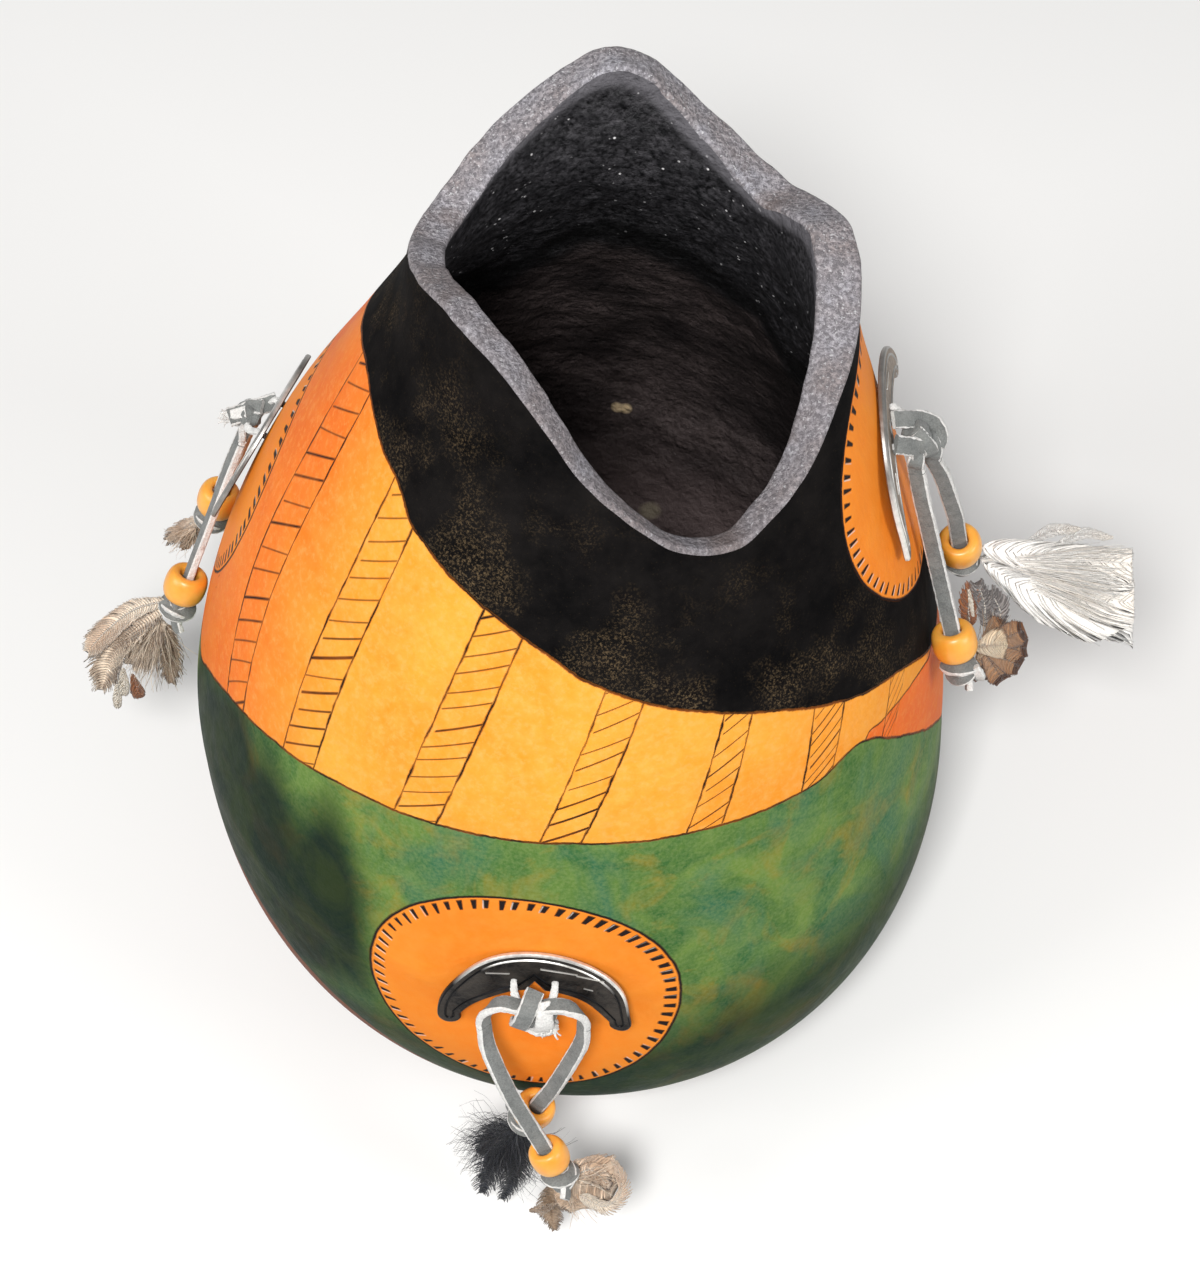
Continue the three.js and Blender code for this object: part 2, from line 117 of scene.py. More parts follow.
def through(rows, x, column=1):  # smooth curve through rows of (x, value, ...)
    table = np.array(rows, float)
    at, value = table[:, 0], table[:, column]
    slope = np.empty_like(value)
    slope[1:-1] = (value[2:] - value[:-2]) / (at[2:] - at[:-2])
    slope[0] = (value[1] - value[0]) / (at[1] - at[0])
    slope[-1] = (value[-1] - value[-2]) / (at[-1] - at[-2])
    x = np.clip(x, at[0], at[-1])
    i = np.clip(np.searchsorted(at, x, side="right") - 1, 0, len(at) - 2)
    span = at[i + 1] - at[i]
    t = (x - at[i]) / span
    ends = value[i] * (2 * t**3 - 3 * t**2 + 1) + value[i + 1] * (3 * t**2 - 2 * t**3)
    return ends + span * (slope[i] * (t**3 - 2 * t**2 + t) + slope[i + 1] * (t**3 - t**2))


def around(rows, bearing):  # the same round a full turn
    start = rows[0][0]
    wrapped = start + np.mod(np.asarray(bearing, float) - start, 360)
    before = [(b - 360, v) for b, v in rows[-2:]]
    after = [(b + 360, v) for b, v in rows[:2]]
    return through(before + list(rows) + after, wrapped)


def skinRadius(z):
    z = np.asarray(z, float)
    share = np.clip((gourd["bellyHeight"] - z) / gourd["bellyReach"], 0, 0.999)
    low = gourd["bellyRadius"] * (1 - share ** gourd["fullness"]) ** (1 / gourd["fullness"])
    climb = (z - gourd["bellyHeight"]) / (gourd["neckHeight"] - gourd["bellyHeight"])
    swell = gourd["bellyRadius"] - gourd["neckRadius"]
    return np.where(z < gourd["bellyHeight"], low, gourd["neckRadius"] + swell * through(gourd["shoulder"], climb))


def skinPoint(bearing, z):
    angle, z = np.broadcast_arrays(np.radians(np.asarray(bearing, float)), np.asarray(z, float))
    r = skinRadius(z)
    x = through(gourd["centre"], z, 1) + r * np.cos(angle)
    y = through(gourd["centre"], z, 2) + r * np.sin(angle)
    return np.stack([x, y, z], -1)


def unit(v):
    v = np.asarray(v, float)
    return v / np.maximum(np.linalg.norm(v, axis=-1, keepdims=True), 1e-9)


def skinAcross(bearing):
    angle = np.radians(np.asarray(bearing, float))
    return np.stack([-np.sin(angle), np.cos(angle), np.zeros_like(angle)], -1)


def skinNormal(bearing, z):
    z = np.asarray(z, float)
    up = skinPoint(bearing, z + 0.25) - skinPoint(bearing, np.maximum(z - 0.25, 0))
    return unit(np.cross(skinAcross(bearing), up))


def bearingOf(points):
    x = points[..., 0] - through(gourd["centre"], points[..., 2], 1)
    y = points[..., 1] - through(gourd["centre"], points[..., 2], 2)
    return np.degrees(np.arctan2(y, x))


def rimAt(bearing):
    return gourd["rimHeight"] + around(gourd["rimWave"], bearing)


def wallAt(bearing):
    return gourd["wall"] + around(gourd["wallVariation"], bearing)


def inset(bearing, z, depth):
    depth = np.asarray(depth, float)
    return skinPoint(bearing, z) - skinNormal(bearing, z) * depth[..., None]


def lashingFrame(name):  # x across, y up the skin, z out of it
    place = lashings[name]
    out = skinNormal(place["bearing"], place["height"])
    across = skinAcross(place["bearing"])
    up = np.cross(out, across)
    turn = math.radians(place["tilt"])
    x = across * math.cos(turn) + up * math.sin(turn)
    y = up * math.cos(turn) - across * math.sin(turn)
    return skinPoint(place["bearing"], place["height"]), np.stack([x, y, out])


def toWorld(name, points):
    origin, axes = lashingFrame(name)
    return origin + np.asarray(points, float) @ axes


def toLashing(name, points):
    origin, axes = lashingFrame(name)
    return (np.asarray(points, float) - origin) @ axes.T


def hang(name, place):
    across, drop, lift = place
    z = lashings[name]["height"] - drop
    bearing = lashings[name]["bearing"] + math.degrees(across / float(skinRadius(z)))
    return inset(bearing, z, -lift)


def smoothRoute(points, count):  # centripetal curve through the points, evenly stepped
    p = np.asarray(points, float)
    p = np.vstack([2 * p[0] - p[1], p, 2 * p[-1] - p[-2]])
    dense = []
    for i in range(1, len(p) - 2):
        a, b, c, d = p[i - 1], p[i], p[i + 1], p[i + 2]
        t0, t1, t2 = (max(np.linalg.norm(v) ** 0.5, 1e-4) for v in (b - a, c - b, d - c))
        m1 = ((b - a) / t0 - (c - a) / (t0 + t1) + (c - b) / t1) * t1
        m2 = ((c - b) / t1 - (d - b) / (t1 + t2) + (d - c) / t2) * t1
        s = np.linspace(0, 1, 24, endpoint=i == len(p) - 3)[:, None]
        rise = (2 * s**3 - 3 * s**2 + 1) * b + (3 * s**2 - 2 * s**3) * c
        dense.append(rise + (s**3 - 2 * s**2 + s) * m1 + (s**3 - s**2) * m2)
    dense = np.vstack(dense)
    run = np.concatenate([[0], np.cumsum(np.linalg.norm(np.diff(dense, axis=0), axis=1))])
    steps = np.linspace(0, run[-1], count)
    return np.stack([np.interp(steps, run, dense[:, k]) for k in range(3)], -1)


def tailRoute(tail):
    name = tail["lashing"]
    bends = [hang(name, place) for place in [tail["root"], *tail["bends"]]]
    bead = hang(name, tail["bead"])
    down = unit(bead - bends[-1])
    bore = math.hypot(lace["width"], lace["thickness"]) / 2 + lace["gap"]
    drop = math.sqrt((lace["stopper"] + lace["gap"]) ** 2 - bore**2)
    stopper = bead + down * (lace["beadLength"] / 2 + drop)
    end = stopper - down * (lace["stopper"] + lace["gap"])
    straight = [bends[-1] + (end - bends[-1]) * share for share in (0.25, 0.5, 0.75, 1)]
    line = smoothRoute(bends + straight, 60)
    aim = hang(name, tail["tip"]) - stopper
    reach = np.linalg.norm(aim) - lace["stopper"] - lace["gap"] - 0.9
    aim = unit(aim)
    side = unit(np.cross([0, 0, 1], aim))
    return {
        "line": line, "bead": bead, "down": down, "stopper": stopper, "heading": unit(line[1] - line[0]),
        "aim": aim, "side": side, "face": np.cross(aim, side), "reach": reach,
        "foot": hang(name, tail["tip"]) - aim * reach,
    }


routes = {name: tailRoute(tail) for name, tail in tails.items()}


# ---- meshes ----

class Builder:  # gathers the points, faces, material slots and tints of one piece
    def __init__(self):
        self.points, self.faces, self.slots, self.tints = [], [], [], []

    def add(self, points, faces, slot=0, tint=(1, 1, 1)):
        start = len(self.points)
        points = np.asarray(points, float)
        self.points.extend(points.tolist())
        self.faces.extend([[start + i for i in face] for face in faces])
        self.slots.extend(slot if isinstance(slot, list) else [slot] * len(faces))
        tint = np.broadcast_to(np.asarray(tint, float), (len(points), 3))
        self.tints.extend(tint.tolist())

    def make(self, name, materials, sharp=40, tinted=False):
        mesh = bpy.data.meshes.new(name)
        mesh.from_pydata((np.array(self.points) * 0.001).tolist(), [], self.faces)
        for material in materials:
            mesh.materials.append(material)
        mesh.polygons.foreach_set("material_index", self.slots)
        mesh.polygons.foreach_set("use_smooth", [True] * len(self.faces))
        if tinted:
            colours = mesh.color_attributes.new("tint", "FLOAT_COLOR", "POINT")
            rgba = np.ones((len(self.points), 4))
            rgba[:, :3] = self.tints
            colours.data.foreach_set("color", rgba.ravel())
        mesh.validate()
        mesh.set_sharp_from_angle(angle=math.radians(sharp))
        piece = bpy.data.objects.new(name, mesh)
        scene.collection.objects.link(piece)
        return piece


def ringFaces(rings, sides, start=0, closed=True):
    faces = []
    for r in range(rings - 1):
        for k in range(sides if closed else sides - 1):
            a, b = start + r * sides + k, start + r * sides + (k + 1) % sides
            faces.append((a, b, b + sides, a + sides))
    return faces


def addRibbon(build, line, facing, width, thickness, seed=0, fray=0.05, closed=False, broad=0, ends=1, taper=0):
    # a suede strip along a line: broad sides in slot 0, its pale cut edges in slot 1
    rnd = random.Random(seed)
    line = np.asarray(line, float)
    n = len(line)
    facing = np.asarray(facing, float)
    if facing.ndim == 1:
        facing = np.broadcast_to(facing, line.shape)
    if closed:
        tangent = unit(np.roll(line, -1, 0) - np.roll(line, 1, 0))
    else:
        tangent = unit(np.gradient(line, axis=0))
    wide = unit(np.cross(tangent, facing))
    out = np.cross(wide, tangent)
    w, t, c = width / 2, thickness / 2, min(0.3, thickness * 0.22)
    section = [
        (-w + c, t), (0, t * 1.06), (w - c, t), (w, t - c), (w, -t + c),
        (w - c, -t), (0, -t), (-w + c, -t), (-w, -t + c), (-w, t - c),
    ]
    sides = len(section)
    points = []
    for i in range(n):
        narrow = 1 - taper * i / (n - 1)
        for u, v in section:
            u = u * narrow
            rough = rnd.uniform(-fray, fray) * (1 if abs(u) > w * 0.8 else 0.4)
            points.append(line[i] + wide[i] * (u + rough) + out[i] * (v + rnd.uniform(-fray, fray) * 0.4))
    faces, slots = [], []
    pale = {2, 3, 4, 7, 8, 9}
    for i in range(n if closed else n - 1):
        for k in range(sides):
            a, b = i * sides + k, i * sides + (k + 1) % sides
            c2, d2 = ((i + 1) % n) * sides + (k + 1) % sides, ((i + 1) % n) * sides + k
            faces.append((a, d2, c2, b))
            slots.append(1 if k in pale else broad)
    if not closed:
        faces += [tuple(range(sides)), tuple(reversed(range((n - 1) * sides, n * sides)))]
        slots += [ends, ends]
    build.add(points, faces, slots)


def turning(keys, count):  # directions eased from one key to the next
    keys = np.asarray(keys, float)
    if keys.ndim == 1:
        keys = keys[None]
    at = np.linspace(0, len(keys) - 1, count)
    return unit(np.stack([np.interp(at, range(len(keys)), keys[:, k]) for k in range(3)], -1))


def twisted(line, start, end):  # broad side turned from facing out of the skin, in degrees towards +across
    angle = np.radians(np.linspace(start, end, len(line)))[:, None]
    bearing = bearingOf(line)
    tangent = unit(np.gradient(line, axis=0))
    out = skinNormal(bearing, line[:, 2])
    out = unit(out - tangent * np.sum(out * tangent, 1, keepdims=True))
    return out * np.cos(angle) + np.cross(out, tangent) * np.sin(angle)


def addLump(build, centre, half, seed=0, rough=0.25, slot=0, sides=28, rings=18, axes=None):
    # a soft lump, uneven like pressed suede
    points = []
    for r in range(rings + 1):
        for k in range(sides):
            a, b = math.pi * r / rings, 2 * math.pi * k / sides
            p = np.array([math.sin(a) * math.cos(b), math.sin(a) * math.sin(b), math.cos(a)])
            bulge = noise.noise(Vector(p * 1.9) + Vector((seed, 0, 0))) * rough
            points.append(p * np.asarray(half, float) * (1 + bulge))
    points = np.array(points)
    if axes is not None:
        points = points @ np.asarray(axes)
    build.add(points + np.asarray(centre, float), ringFaces(rings + 1, sides), slot)


def settle(piece, body, slot, *nodes):
    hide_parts(*nodes)
    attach(piece, body)


# ---- materials ----

class Finish:  # a material and short words for its nodes
    def __init__(self, name):
        self.material = bpy.data.materials.new(name)
        self.material.use_nodes = True
        self.tree = self.material.node_tree
        self.shader = self.tree.nodes["Principled BSDF"]
        self.place = self.node("ShaderNodeTexCoord").outputs["Object"]

    def node(self, kind, **settings):
        made = self.tree.nodes.new(kind)
        for key, value in settings.items():
            setattr(made, key, value)
        return made

    def put(self, socket, value):
        if isinstance(value, bpy.types.NodeSocket):
            self.tree.links.new(value, socket)
        elif socket.type == "RGBA" and not isinstance(value, (int, float)):
            socket.default_value = (*value[:3], 1)
        else:
            socket.default_value = value

    def set(self, **values):
        for key, value in values.items():
            self.put(self.shader.inputs[key.replace("_", " ")], value)

    def sum(self, operation, a, b=0.0, c=0.0, clamp=False):
        made = self.node("ShaderNodeMath", operation=operation, use_clamp=clamp)
        for socket, value in zip(made.inputs, (a, b, c)):
            self.put(socket, value)
        return made.outputs[0]

    def ramp(self, value, low, high, toLow=0.0, toHigh=1.0, smooth=False):
        made = self.node("ShaderNodeMapRange", clamp=True)
        if smooth:
            made.interpolation_type = "SMOOTHSTEP"
        for socket, given in zip(made.inputs, (value, low, high, toLow, toHigh)):
            self.put(socket, given)
        return made.outputs[0]

    def mix(self, share, a, b, blend="MIX"):
        made = self.node("ShaderNodeMix", data_type="RGBA", blend_type=blend)
        self.put(made.inputs[0], share)
        self.put(made.inputs[6], a)
        self.put(made.inputs[7], b)
        return made.outputs[2]

    def grain(self, size, detail=3.0, rough=0.55, stretch=(1, 1, 1), distort=0.0):  # noise with grains of size mm
        made = self.node("ShaderNodeTexNoise")
        source = self.place
        if stretch != (1, 1, 1):
            scaled = self.node("ShaderNodeMapping")
            scaled.inputs["Scale"].default_value = stretch
            self.put(scaled.inputs["Vector"], self.place)
            source = scaled.outputs[0]
        self.put(made.inputs["Vector"], source)
        made.inputs["Scale"].default_value = 1000 / size
        made.inputs["Detail"].default_value = detail
        made.inputs["Roughness"].default_value = rough
        made.inputs["Distortion"].default_value = distort
        return made.outputs[0]

    def cells(self, size, feature="F1"):
        made = self.node("ShaderNodeTexVoronoi", feature=feature)
        self.put(made.inputs["Vector"], self.place)
        made.inputs["Scale"].default_value = 1000 / size
        return made.outputs["Distance"]

    def attribute(self, name, part="Fac"):
        return self.node("ShaderNodeAttribute", attribute_name=name).outputs[part]

    def parts(self, vector):
        made = self.node("ShaderNodeSeparateXYZ")
        self.put(made.inputs[0], vector)
        return made.outputs[0], made.outputs[1], made.outputs[2]

    def bump(self, height, depth, strength=1.0, over=None):  # depth in mm for a height of 1
        made = self.node("ShaderNodeBump")
        made.inputs["Strength"].default_value = strength
        made.inputs["Distance"].default_value = depth * 0.001
        self.put(made.inputs["Height"], height)
        if over is not None:
            self.put(made.inputs["Normal"], over)
        return made.outputs[0]


# ---- camera, light and floor ----

def makeStudio():
    camera = bpy.data.objects.new("view", bpy.data.cameras.new("view"))
    camera.location = Vector(view["place"]) * 0.001
    camera.rotation_euler = (math.radians(view["tilt"]), 0, 0)
    camera.data.lens = view["lens"]
    camera.data.sensor_width = view["sensor"]
    camera.data.sensor_fit = "HORIZONTAL"
    camera.data.clip_start = 0.02
    scene.collection.objects.link(camera)
    scene.camera = camera

    studio = {  # place and aim in metres, size, watts
        "key": ((-0.12, -0.58, 1.10), (0, 0, 0.09), 0.28, 12.3),
        "left": ((-0.95, -0.35, 0.75), (0, 0, 0.12), 0.5, 5.0),
        "right": ((0.95, -0.45, 0.60), (0, 0, 0.12), 0.5, 4.6),
    }
    for name, (place, aim, size, watts) in studio.items():
        lamp = bpy.data.lights.new(name, "AREA")
        lamp.size = size
        lamp.energy = watts
        holder = bpy.data.objects.new(name, lamp)
        holder.location = place
        holder.rotation_euler = (Vector(aim) - Vector(place)).to_track_quat("-Z", "Y").to_euler()
        scene.collection.objects.link(holder)

    world = bpy.data.worlds.new("studio")
    scene.world = world
    world.use_nodes = True
    world.node_tree.nodes["Background"].inputs["Color"].default_value = (0.92, 0.94, 0.97, 1)
    world.node_tree.nodes["Background"].inputs["Strength"].default_value = 0.26

    mesh = bpy.data.meshes.new("floor")
    mesh.from_pydata([(-3, -3, 0), (3, -3, 0), (3, 3, 0), (-3, 3, 0)], [], [(0, 1, 2, 3)])
    floor = bpy.data.objects.new("floor", mesh)
    scene.collection.objects.link(floor)
    paper = Finish("floorPaper")
    rays = paper.node("ShaderNodeLightPath").outputs
    seen = paper.sum("MAXIMUM", rays["Is Camera Ray"], rays["Is Glossy Ray"])
    seen = paper.sum("MAXIMUM", seen, rays["Is Transmission Ray"])
    paper.set(Base_Color=paper.mix(seen, (0.22, 0.21, 0.20), (0.86, 0.85, 0.83)), Roughness=0.9)
    mesh.materials.append(paper.material)
    print("studio made")


# ---- suede laces, the free tails ----

def makeSuede():
    side = Finish("suedeGrey")
    shade = side.ramp(side.grain(2.4, 5, 0.65), 0.3, 0.7)
    fibre = side.ramp(side.grain(0.3, 2, 0.7), 0.3, 0.75)
    grey = side.mix(shade, (0.115, 0.120, 0.116), (0.225, 0.230, 0.218))
    grey = side.mix(side.sum("MULTIPLY", fibre, 0.3), grey, (0.44, 0.45, 0.43))
    side.set(Base_Color=grey, Roughness=0.95, Sheen_Weight=0.2, Sheen_Roughness=0.5)
    side.set(Specular_IOR_Level=0.15, Normal=side.bump(fibre, 0.12, 0.8))
    edge = Finish("suedeCutEdge")
    fuzz = edge.ramp(edge.grain(0.4, 3, 0.7), 0.3, 0.7)
    pink = edge.ramp(edge.grain(1.3, 2), 0.4, 0.65)
    pale = edge.mix(fuzz, (0.62, 0.61, 0.58), (0.93, 0.92, 0.88))
    pale = edge.mix(edge.sum("MULTIPLY", pink, 0.35), pale, (0.66, 0.61, 0.59))
    edge.set(Base_Color=pale, Roughness=0.95, Sheen_Weight=0.3, Specular_IOR_Level=0.15)
    edge.set(Normal=edge.bump(fuzz, 0.15, 0.9))
    return side.material, edge.material


def makeTails(suede):
    pieces = {}
    for name, tail in tails.items():
        line = routes[name]["line"]
        build = Builder()
        facing = twisted(line, *tail["twist"])
        seed = len(name) + ord(name[-1])
        addRibbon(build, line, facing, lace["width"], lace["thickness"], seed, ends=0)
        piece = build.make(f"suede_tail_{name}", suede)
        settle(piece, tail["body"], "suede", f"lace_{name}")
        pieces[name] = piece
    print("tails made")
    return pieces


# ---- stopper knots ----

def makeStoppers(suede):
    knot = {"core": (2.5, 2.1, 2.4), "turn": 2.55, "strip": 2.9, "tuck": 2.3}
    hoops = {"right_near": [(-2.9, 0.4, 1.9), (-3.1, -1.8, 2.6), (-1.6, -3.6, 2.8), (0.8, -3.8, 2.9), (2.8, -2.4, 2.6), (3.2, -0.2, 1.9)]}
    pieces = {}
    for name, tail in tails.items():
        route = routes[name]
        up = -route["down"]
        depth = unit(np.cross(route["side"], up))
        axes = np.stack([np.cross(up, depth), up, depth])
        build = Builder()
        seed = 11 * (1 + list(tails).index(name))
        addLump(build, (0, -0.3, 0), knot["core"], seed, 0.3, sides=20, rings=12)
        angles = np.linspace(0, 2 * math.pi, 34, endpoint=False)
        for k, (tilt, roll, radius, high) in enumerate(((14, -10, knot["turn"], 0.2), (-24, 18, knot["tuck"], -1.0))):
            turn = Matrix.Rotation(math.radians(roll), 3, "Z") @ Matrix.Rotation(math.radians(tilt), 3, "X")
            loop = np.stack([np.cos(angles) * radius, 0 * angles, np.sin(angles) * radius], -1)
            face = loop / radius * 0.75 + np.array([0, 1, 0])  # the strip's broad side looks up and out
            turn = np.array(turn).T
            addRibbon(build, loop @ turn + [0, high, 0], unit(face @ turn), knot["strip"] - k * 0.5, 1.1, seed + k, 0.08,
                      closed=True)
        if name in hoops:  # a loop of the lace end, its cut edge outwards
            hoop = smoothRoute(hoops[name], 34)
            addRibbon(build, hoop, turning([(1, 0, 0.5), (0.2, 1, 0.4), (-1, 0, 0.5)], 34), 1.9, 1.2, seed + 9, 0.08, broad=1)
        lean = math.radians(tail["stubLean"])
        end = np.array([math.sin(lean), -math.cos(lean), 0])
        stub = smoothRoute([end * 0.5, end * 2.2 + [0, 0, 0.5], end * 3.8 + [0, 0, 0.5], end * 5.4], 14)
        addRibbon(build, stub, (0, 0.2, 1), 3.0, 1.2, seed + 5, 0.12, taper=0.25)
        build.points = (np.array(build.points) @ axes + route["stopper"]).tolist()
        piece = build.make(f"suede_stopper_{name}", suede)
        settle(piece, tail["body"], "suede", f"stopper_{name}")
        pieces[name] = piece
    print("stopper knots made")
    return pieces


# ---- beads ----

def makeBeads():
    bead = {"radius": 4.35, "half": 3.25, "bore": 1.86, "lip": 0.8}
    gloss = Finish("beadOrange")
    cloud = gloss.ramp(gloss.grain(5, 3), 0.35, 0.7)
    gloss.set(Base_Color=gloss.mix(cloud, (0.90, 0.36, 0.035), (0.96, 0.47, 0.08)), Roughness=0.42)
    gloss.set(Subsurface_Weight=0.25, Coat_Weight=0.4, Coat_Roughness=0.28)
    gloss.shader.inputs["Subsurface Radius"].default_value = (0.002, 0.0012, 0.0004)
    gloss.shader.inputs["Subsurface Scale"].default_value = 0.6
    gloss.set(Normal=gloss.bump(gloss.grain(2.5, 2), 0.04, 0.5))
    sizes = {"front_near": 0.89, "front_rear": 0.95}
    pieces = {}
    sides = 48
    for name in tails:
        route = routes[name]
        up = -route["down"]
        depth = unit(np.cross(route["side"], up))
        axes = np.stack([np.cross(up, depth), up, depth])
        profile = []
        for k in range(29):  # outside, then over the lip and back through the bore
            a = math.pi * (k / 28 - 0.5)
            swell = math.copysign(abs(math.sin(a)) ** 0.9, a)
            r = bead["bore"] + bead["lip"] + (bead["radius"] - bead["bore"] - bead["lip"]) * abs(math.cos(a)) ** 0.72
            profile.append((r, bead["half"] * swell))
        for k in range(1, 7):
            a = math.pi / 2 * k / 6
            profile.append((bead["bore"] + bead["lip"] * (1 - math.sin(a)),
                            bead["half"] - bead["lip"] * (1 - math.cos(a))))
        for k in range(6, -1, -1):
            a = math.pi / 2 * k / 6
            profile.append((bead["bore"] + bead["lip"] * (1 - math.sin(a)),
                            -bead["half"] + bead["lip"] * (1 - math.cos(a))))
        points = []
        for k in range(sides):
            a = 2 * math.pi * k / sides
            points += [(r * math.cos(a), y, -r * math.sin(a)) for r, y in profile]
        n = len(profile)
        faces = []
        for k in range(sides):
            for i in range(n):
                a, b = k * n + i, ((k + 1) % sides) * n + i
                c, d = ((k + 1) % sides) * n + (i + 1) % n, k * n + (i + 1) % n
                if i != n - 1:
                    faces.append((a, b, c, d))
        build = Builder()
        build.add(np.array(points) * sizes.get(name, 1.0) @ axes + route["bead"], faces)
        piece = build.make(f"orange_bead_{name}", [gloss.material], 60)
        settle(piece, f"bead_{name}", "bead", f"bead_{name}")
        pieces[name] = piece
    print("beads made")
    return pieces


# ---- feathers ----

def addBarb(build, line, wide, start, end, tints):  # a tapering hair of three sides, flat in the vane
    n = len(line)
    wide = np.broadcast_to(wide, line.shape)
    rise = unit(np.cross(wide, np.gradient(line, axis=0)))
    half = np.linspace(start, end, n)[:, None] / 2
    rows = np.stack([line - wide * half, line + wide * half, line + rise * half * 0.3], 1)
    build.add(rows.reshape(-1, 3), [*ringFaces(n, 3), (2, 1, 0), (3 * n - 3, 3 * n - 2, 3 * n - 1)], 0, np.repeat(tints, 3, 0))


def addPlume(build, look, seed):
    # barbs down both sides of a curved shaft; the look holds the shaft's points, how wide it is to
    # the left and right at each of them, the way it faces and its colours
    rnd = random.Random(seed)
    spine = smoothRoute(look["shaft"], 40)
    length = float(np.linalg.norm(np.diff(spine, axis=0), axis=1).sum())
    along = unit(np.gradient(spine, axis=0))
    out = turning(look.get("facing", (0, 0, 1)), 40)
    side = unit(np.cross(out, along))
    out = np.cross(along, side)
    stations = np.linspace(0, 1, len(look["left"]))
    if look.get("stem", 0.5):
        stem = look.get("stemTint", (0.85, 0.78, 0.68))
        addBarb(build, spine[:38], side[:38], look.get("stem", 0.5), 0.12, [stem] * 38)
    count = int(length * look.get("density", 3))
    steps = look.get("steps", 6)
    if look.get("vane", 0.9):
        addVane(build, look, spine, along, side, out, stations, seed)
    for s, widths in ((1, look["left"]), (-1, look["right"])):
        slip, droop = 0.0, 0.0
        for k in range(count):
            t = (k + rnd.random()) / count
            if rnd.random() < look.get("split", 0.06):  # barbs hold together in locks
                slip, droop = rnd.uniform(-0.14, 0.14), rnd.uniform(-0.5, 0.5)
            i = min(39, int(t * 39))
            reach = float(np.interp(t, stations, widths)) * rnd.uniform(1 - look.get("ragged", 0.12), 1.03)
            ahead = reach * float(np.interp(t, (0, 1), look.get("ahead", (0.7, 1.3)))) * (1 + slip * 2)
            line = []
            for u in np.linspace(0, 1, steps):
                p = spine[i] + side[i] * s * reach * (u * 1.5 - 0.5 * u * u) + along[i] * ahead * (0.45 * u + 0.55 * u * u)
                p = p + out[i] * (look.get("cup", 0.0) + droop * 0.25) * reach * u * u
                line.append(p + out[i] * rnd.uniform(-0.06, 0.06))
            line = np.array(line)
            if "cut" in look:  # the bunch is cut off straight
                past = np.nonzero(line[:, 0] > look["cut"] + rnd.uniform(-0.5, 0.25))[0]
                if len(past) and past[0] == 0:
                    continue
                if len(past):
                    a, b = line[past[0] - 1], line[past[0]]
                    limit = a + (b - a) * np.clip((look["cut"] - a[0]) / max(b[0] - a[0], 1e-6), 0, 1)
                    line = smoothRoute([*line[: past[0]], limit], steps) if past[0] > 1 else np.linspace(a, limit, steps)
            tints = [look["tint"](t, s * u, rnd) for u in np.linspace(0, 1, steps)]
            flat = unit(np.cross(out[i], line[-1] - line[0]))
            thick = look.get("barb", 0.3)
            addBarb(build, line, flat, thick, thick * look.get("fine", 0.45), tints)


def addVane(build, look, spine, along, side, out, stations, seed):
    # the thin web between the barbs, with fine streaks along them and a slightly torn outline
    rnd = random.Random(seed)
    length = float(np.linalg.norm(np.diff(spine, axis=0), axis=1).sum())
    rows, tints = [], []
    shares = (1.0, 0.8, 0.55, 0.28)
    count = max(12, int(length * 3.2))
    for k in range(count):
        t = k / (count - 1)
        i = min(39, int(t * 39))
        torn = rnd.uniform(1 - look.get("ragged", 0.12) * 0.9, 1.0) * look.get("vane", 0.93)
        top, colours = [], []
        for s, widths in ((1, look["left"]), (-1, look["right"])):
            reach = float(np.interp(t, stations, widths)) * torn
            ahead = reach * float(np.interp(t, (0, 1), look.get("ahead", (0.7, 1.3))))
            for u in shares if s == 1 else (0.0, *shares[::-1]):
                p = spine[i] + side[i] * s * reach * (u * 1.5 - 0.5 * u * u) + along[i] * ahead * (0.45 * u + 0.55 * u * u)
                p = p + out[i] * (look.get("cup", 0.0) * reach * u * u - 0.12)
                if "cut" in look:
                    p[0] = min(p[0], look["cut"] - 0.2)
                top.append(p)
                colours.append(look["tint"](t, s * u, random.Random(seed * 997 + k)))
        rows.append(top + [p - out[i] * 0.25 for p in top[::-1]])
        tints += colours + colours[::-1]
    sides = len(rows[0])
    faces = [*ringFaces(count, sides), tuple(range(sides))[::-1], tuple(range((count - 1) * sides, count * sides))]
    build.add(np.array(rows).reshape(-1, 3), faces, 0, tints)


def addDown(build, base, aims, spread, reach, count, tint, seed, width=0.2, curl=1.0):
    # loose curly strands from the root
    rnd = random.Random(seed)
    for _ in range(count):
        aim = unit(aims[rnd.randrange(len(aims))])
        long = reach * rnd.uniform(0.45, 1.0)
        way = unit(aim + np.array([rnd.gauss(0, spread) for _ in range(3)]))
        swirl = unit(np.cross(way, [rnd.uniform(-1, 1), rnd.uniform(-1, 1), rnd.uniform(-1, 1)]))
        third = np.cross(way, swirl)
        phase, waves = rnd.uniform(0, 6.28), rnd.uniform(0.5, 1.3)
        line = []
        for u in np.linspace(0, 1, 8):
            bend = phase + waves * 6.28 * u
            line.append(base + way * long * u + (swirl * math.sin(bend) + third * math.cos(bend)) * curl * u)
        shade = tint(rnd)
        addBarb(build, np.array(line), third, width, width * 0.4, [shade] * 8)


def shadeOf(a, b, share, rnd, wobble=0.08):
    share = min(1, max(0, share + rnd.uniform(-wobble, wobble)))
    return [x + (y - x) * share for x, y in zip(a, b)]


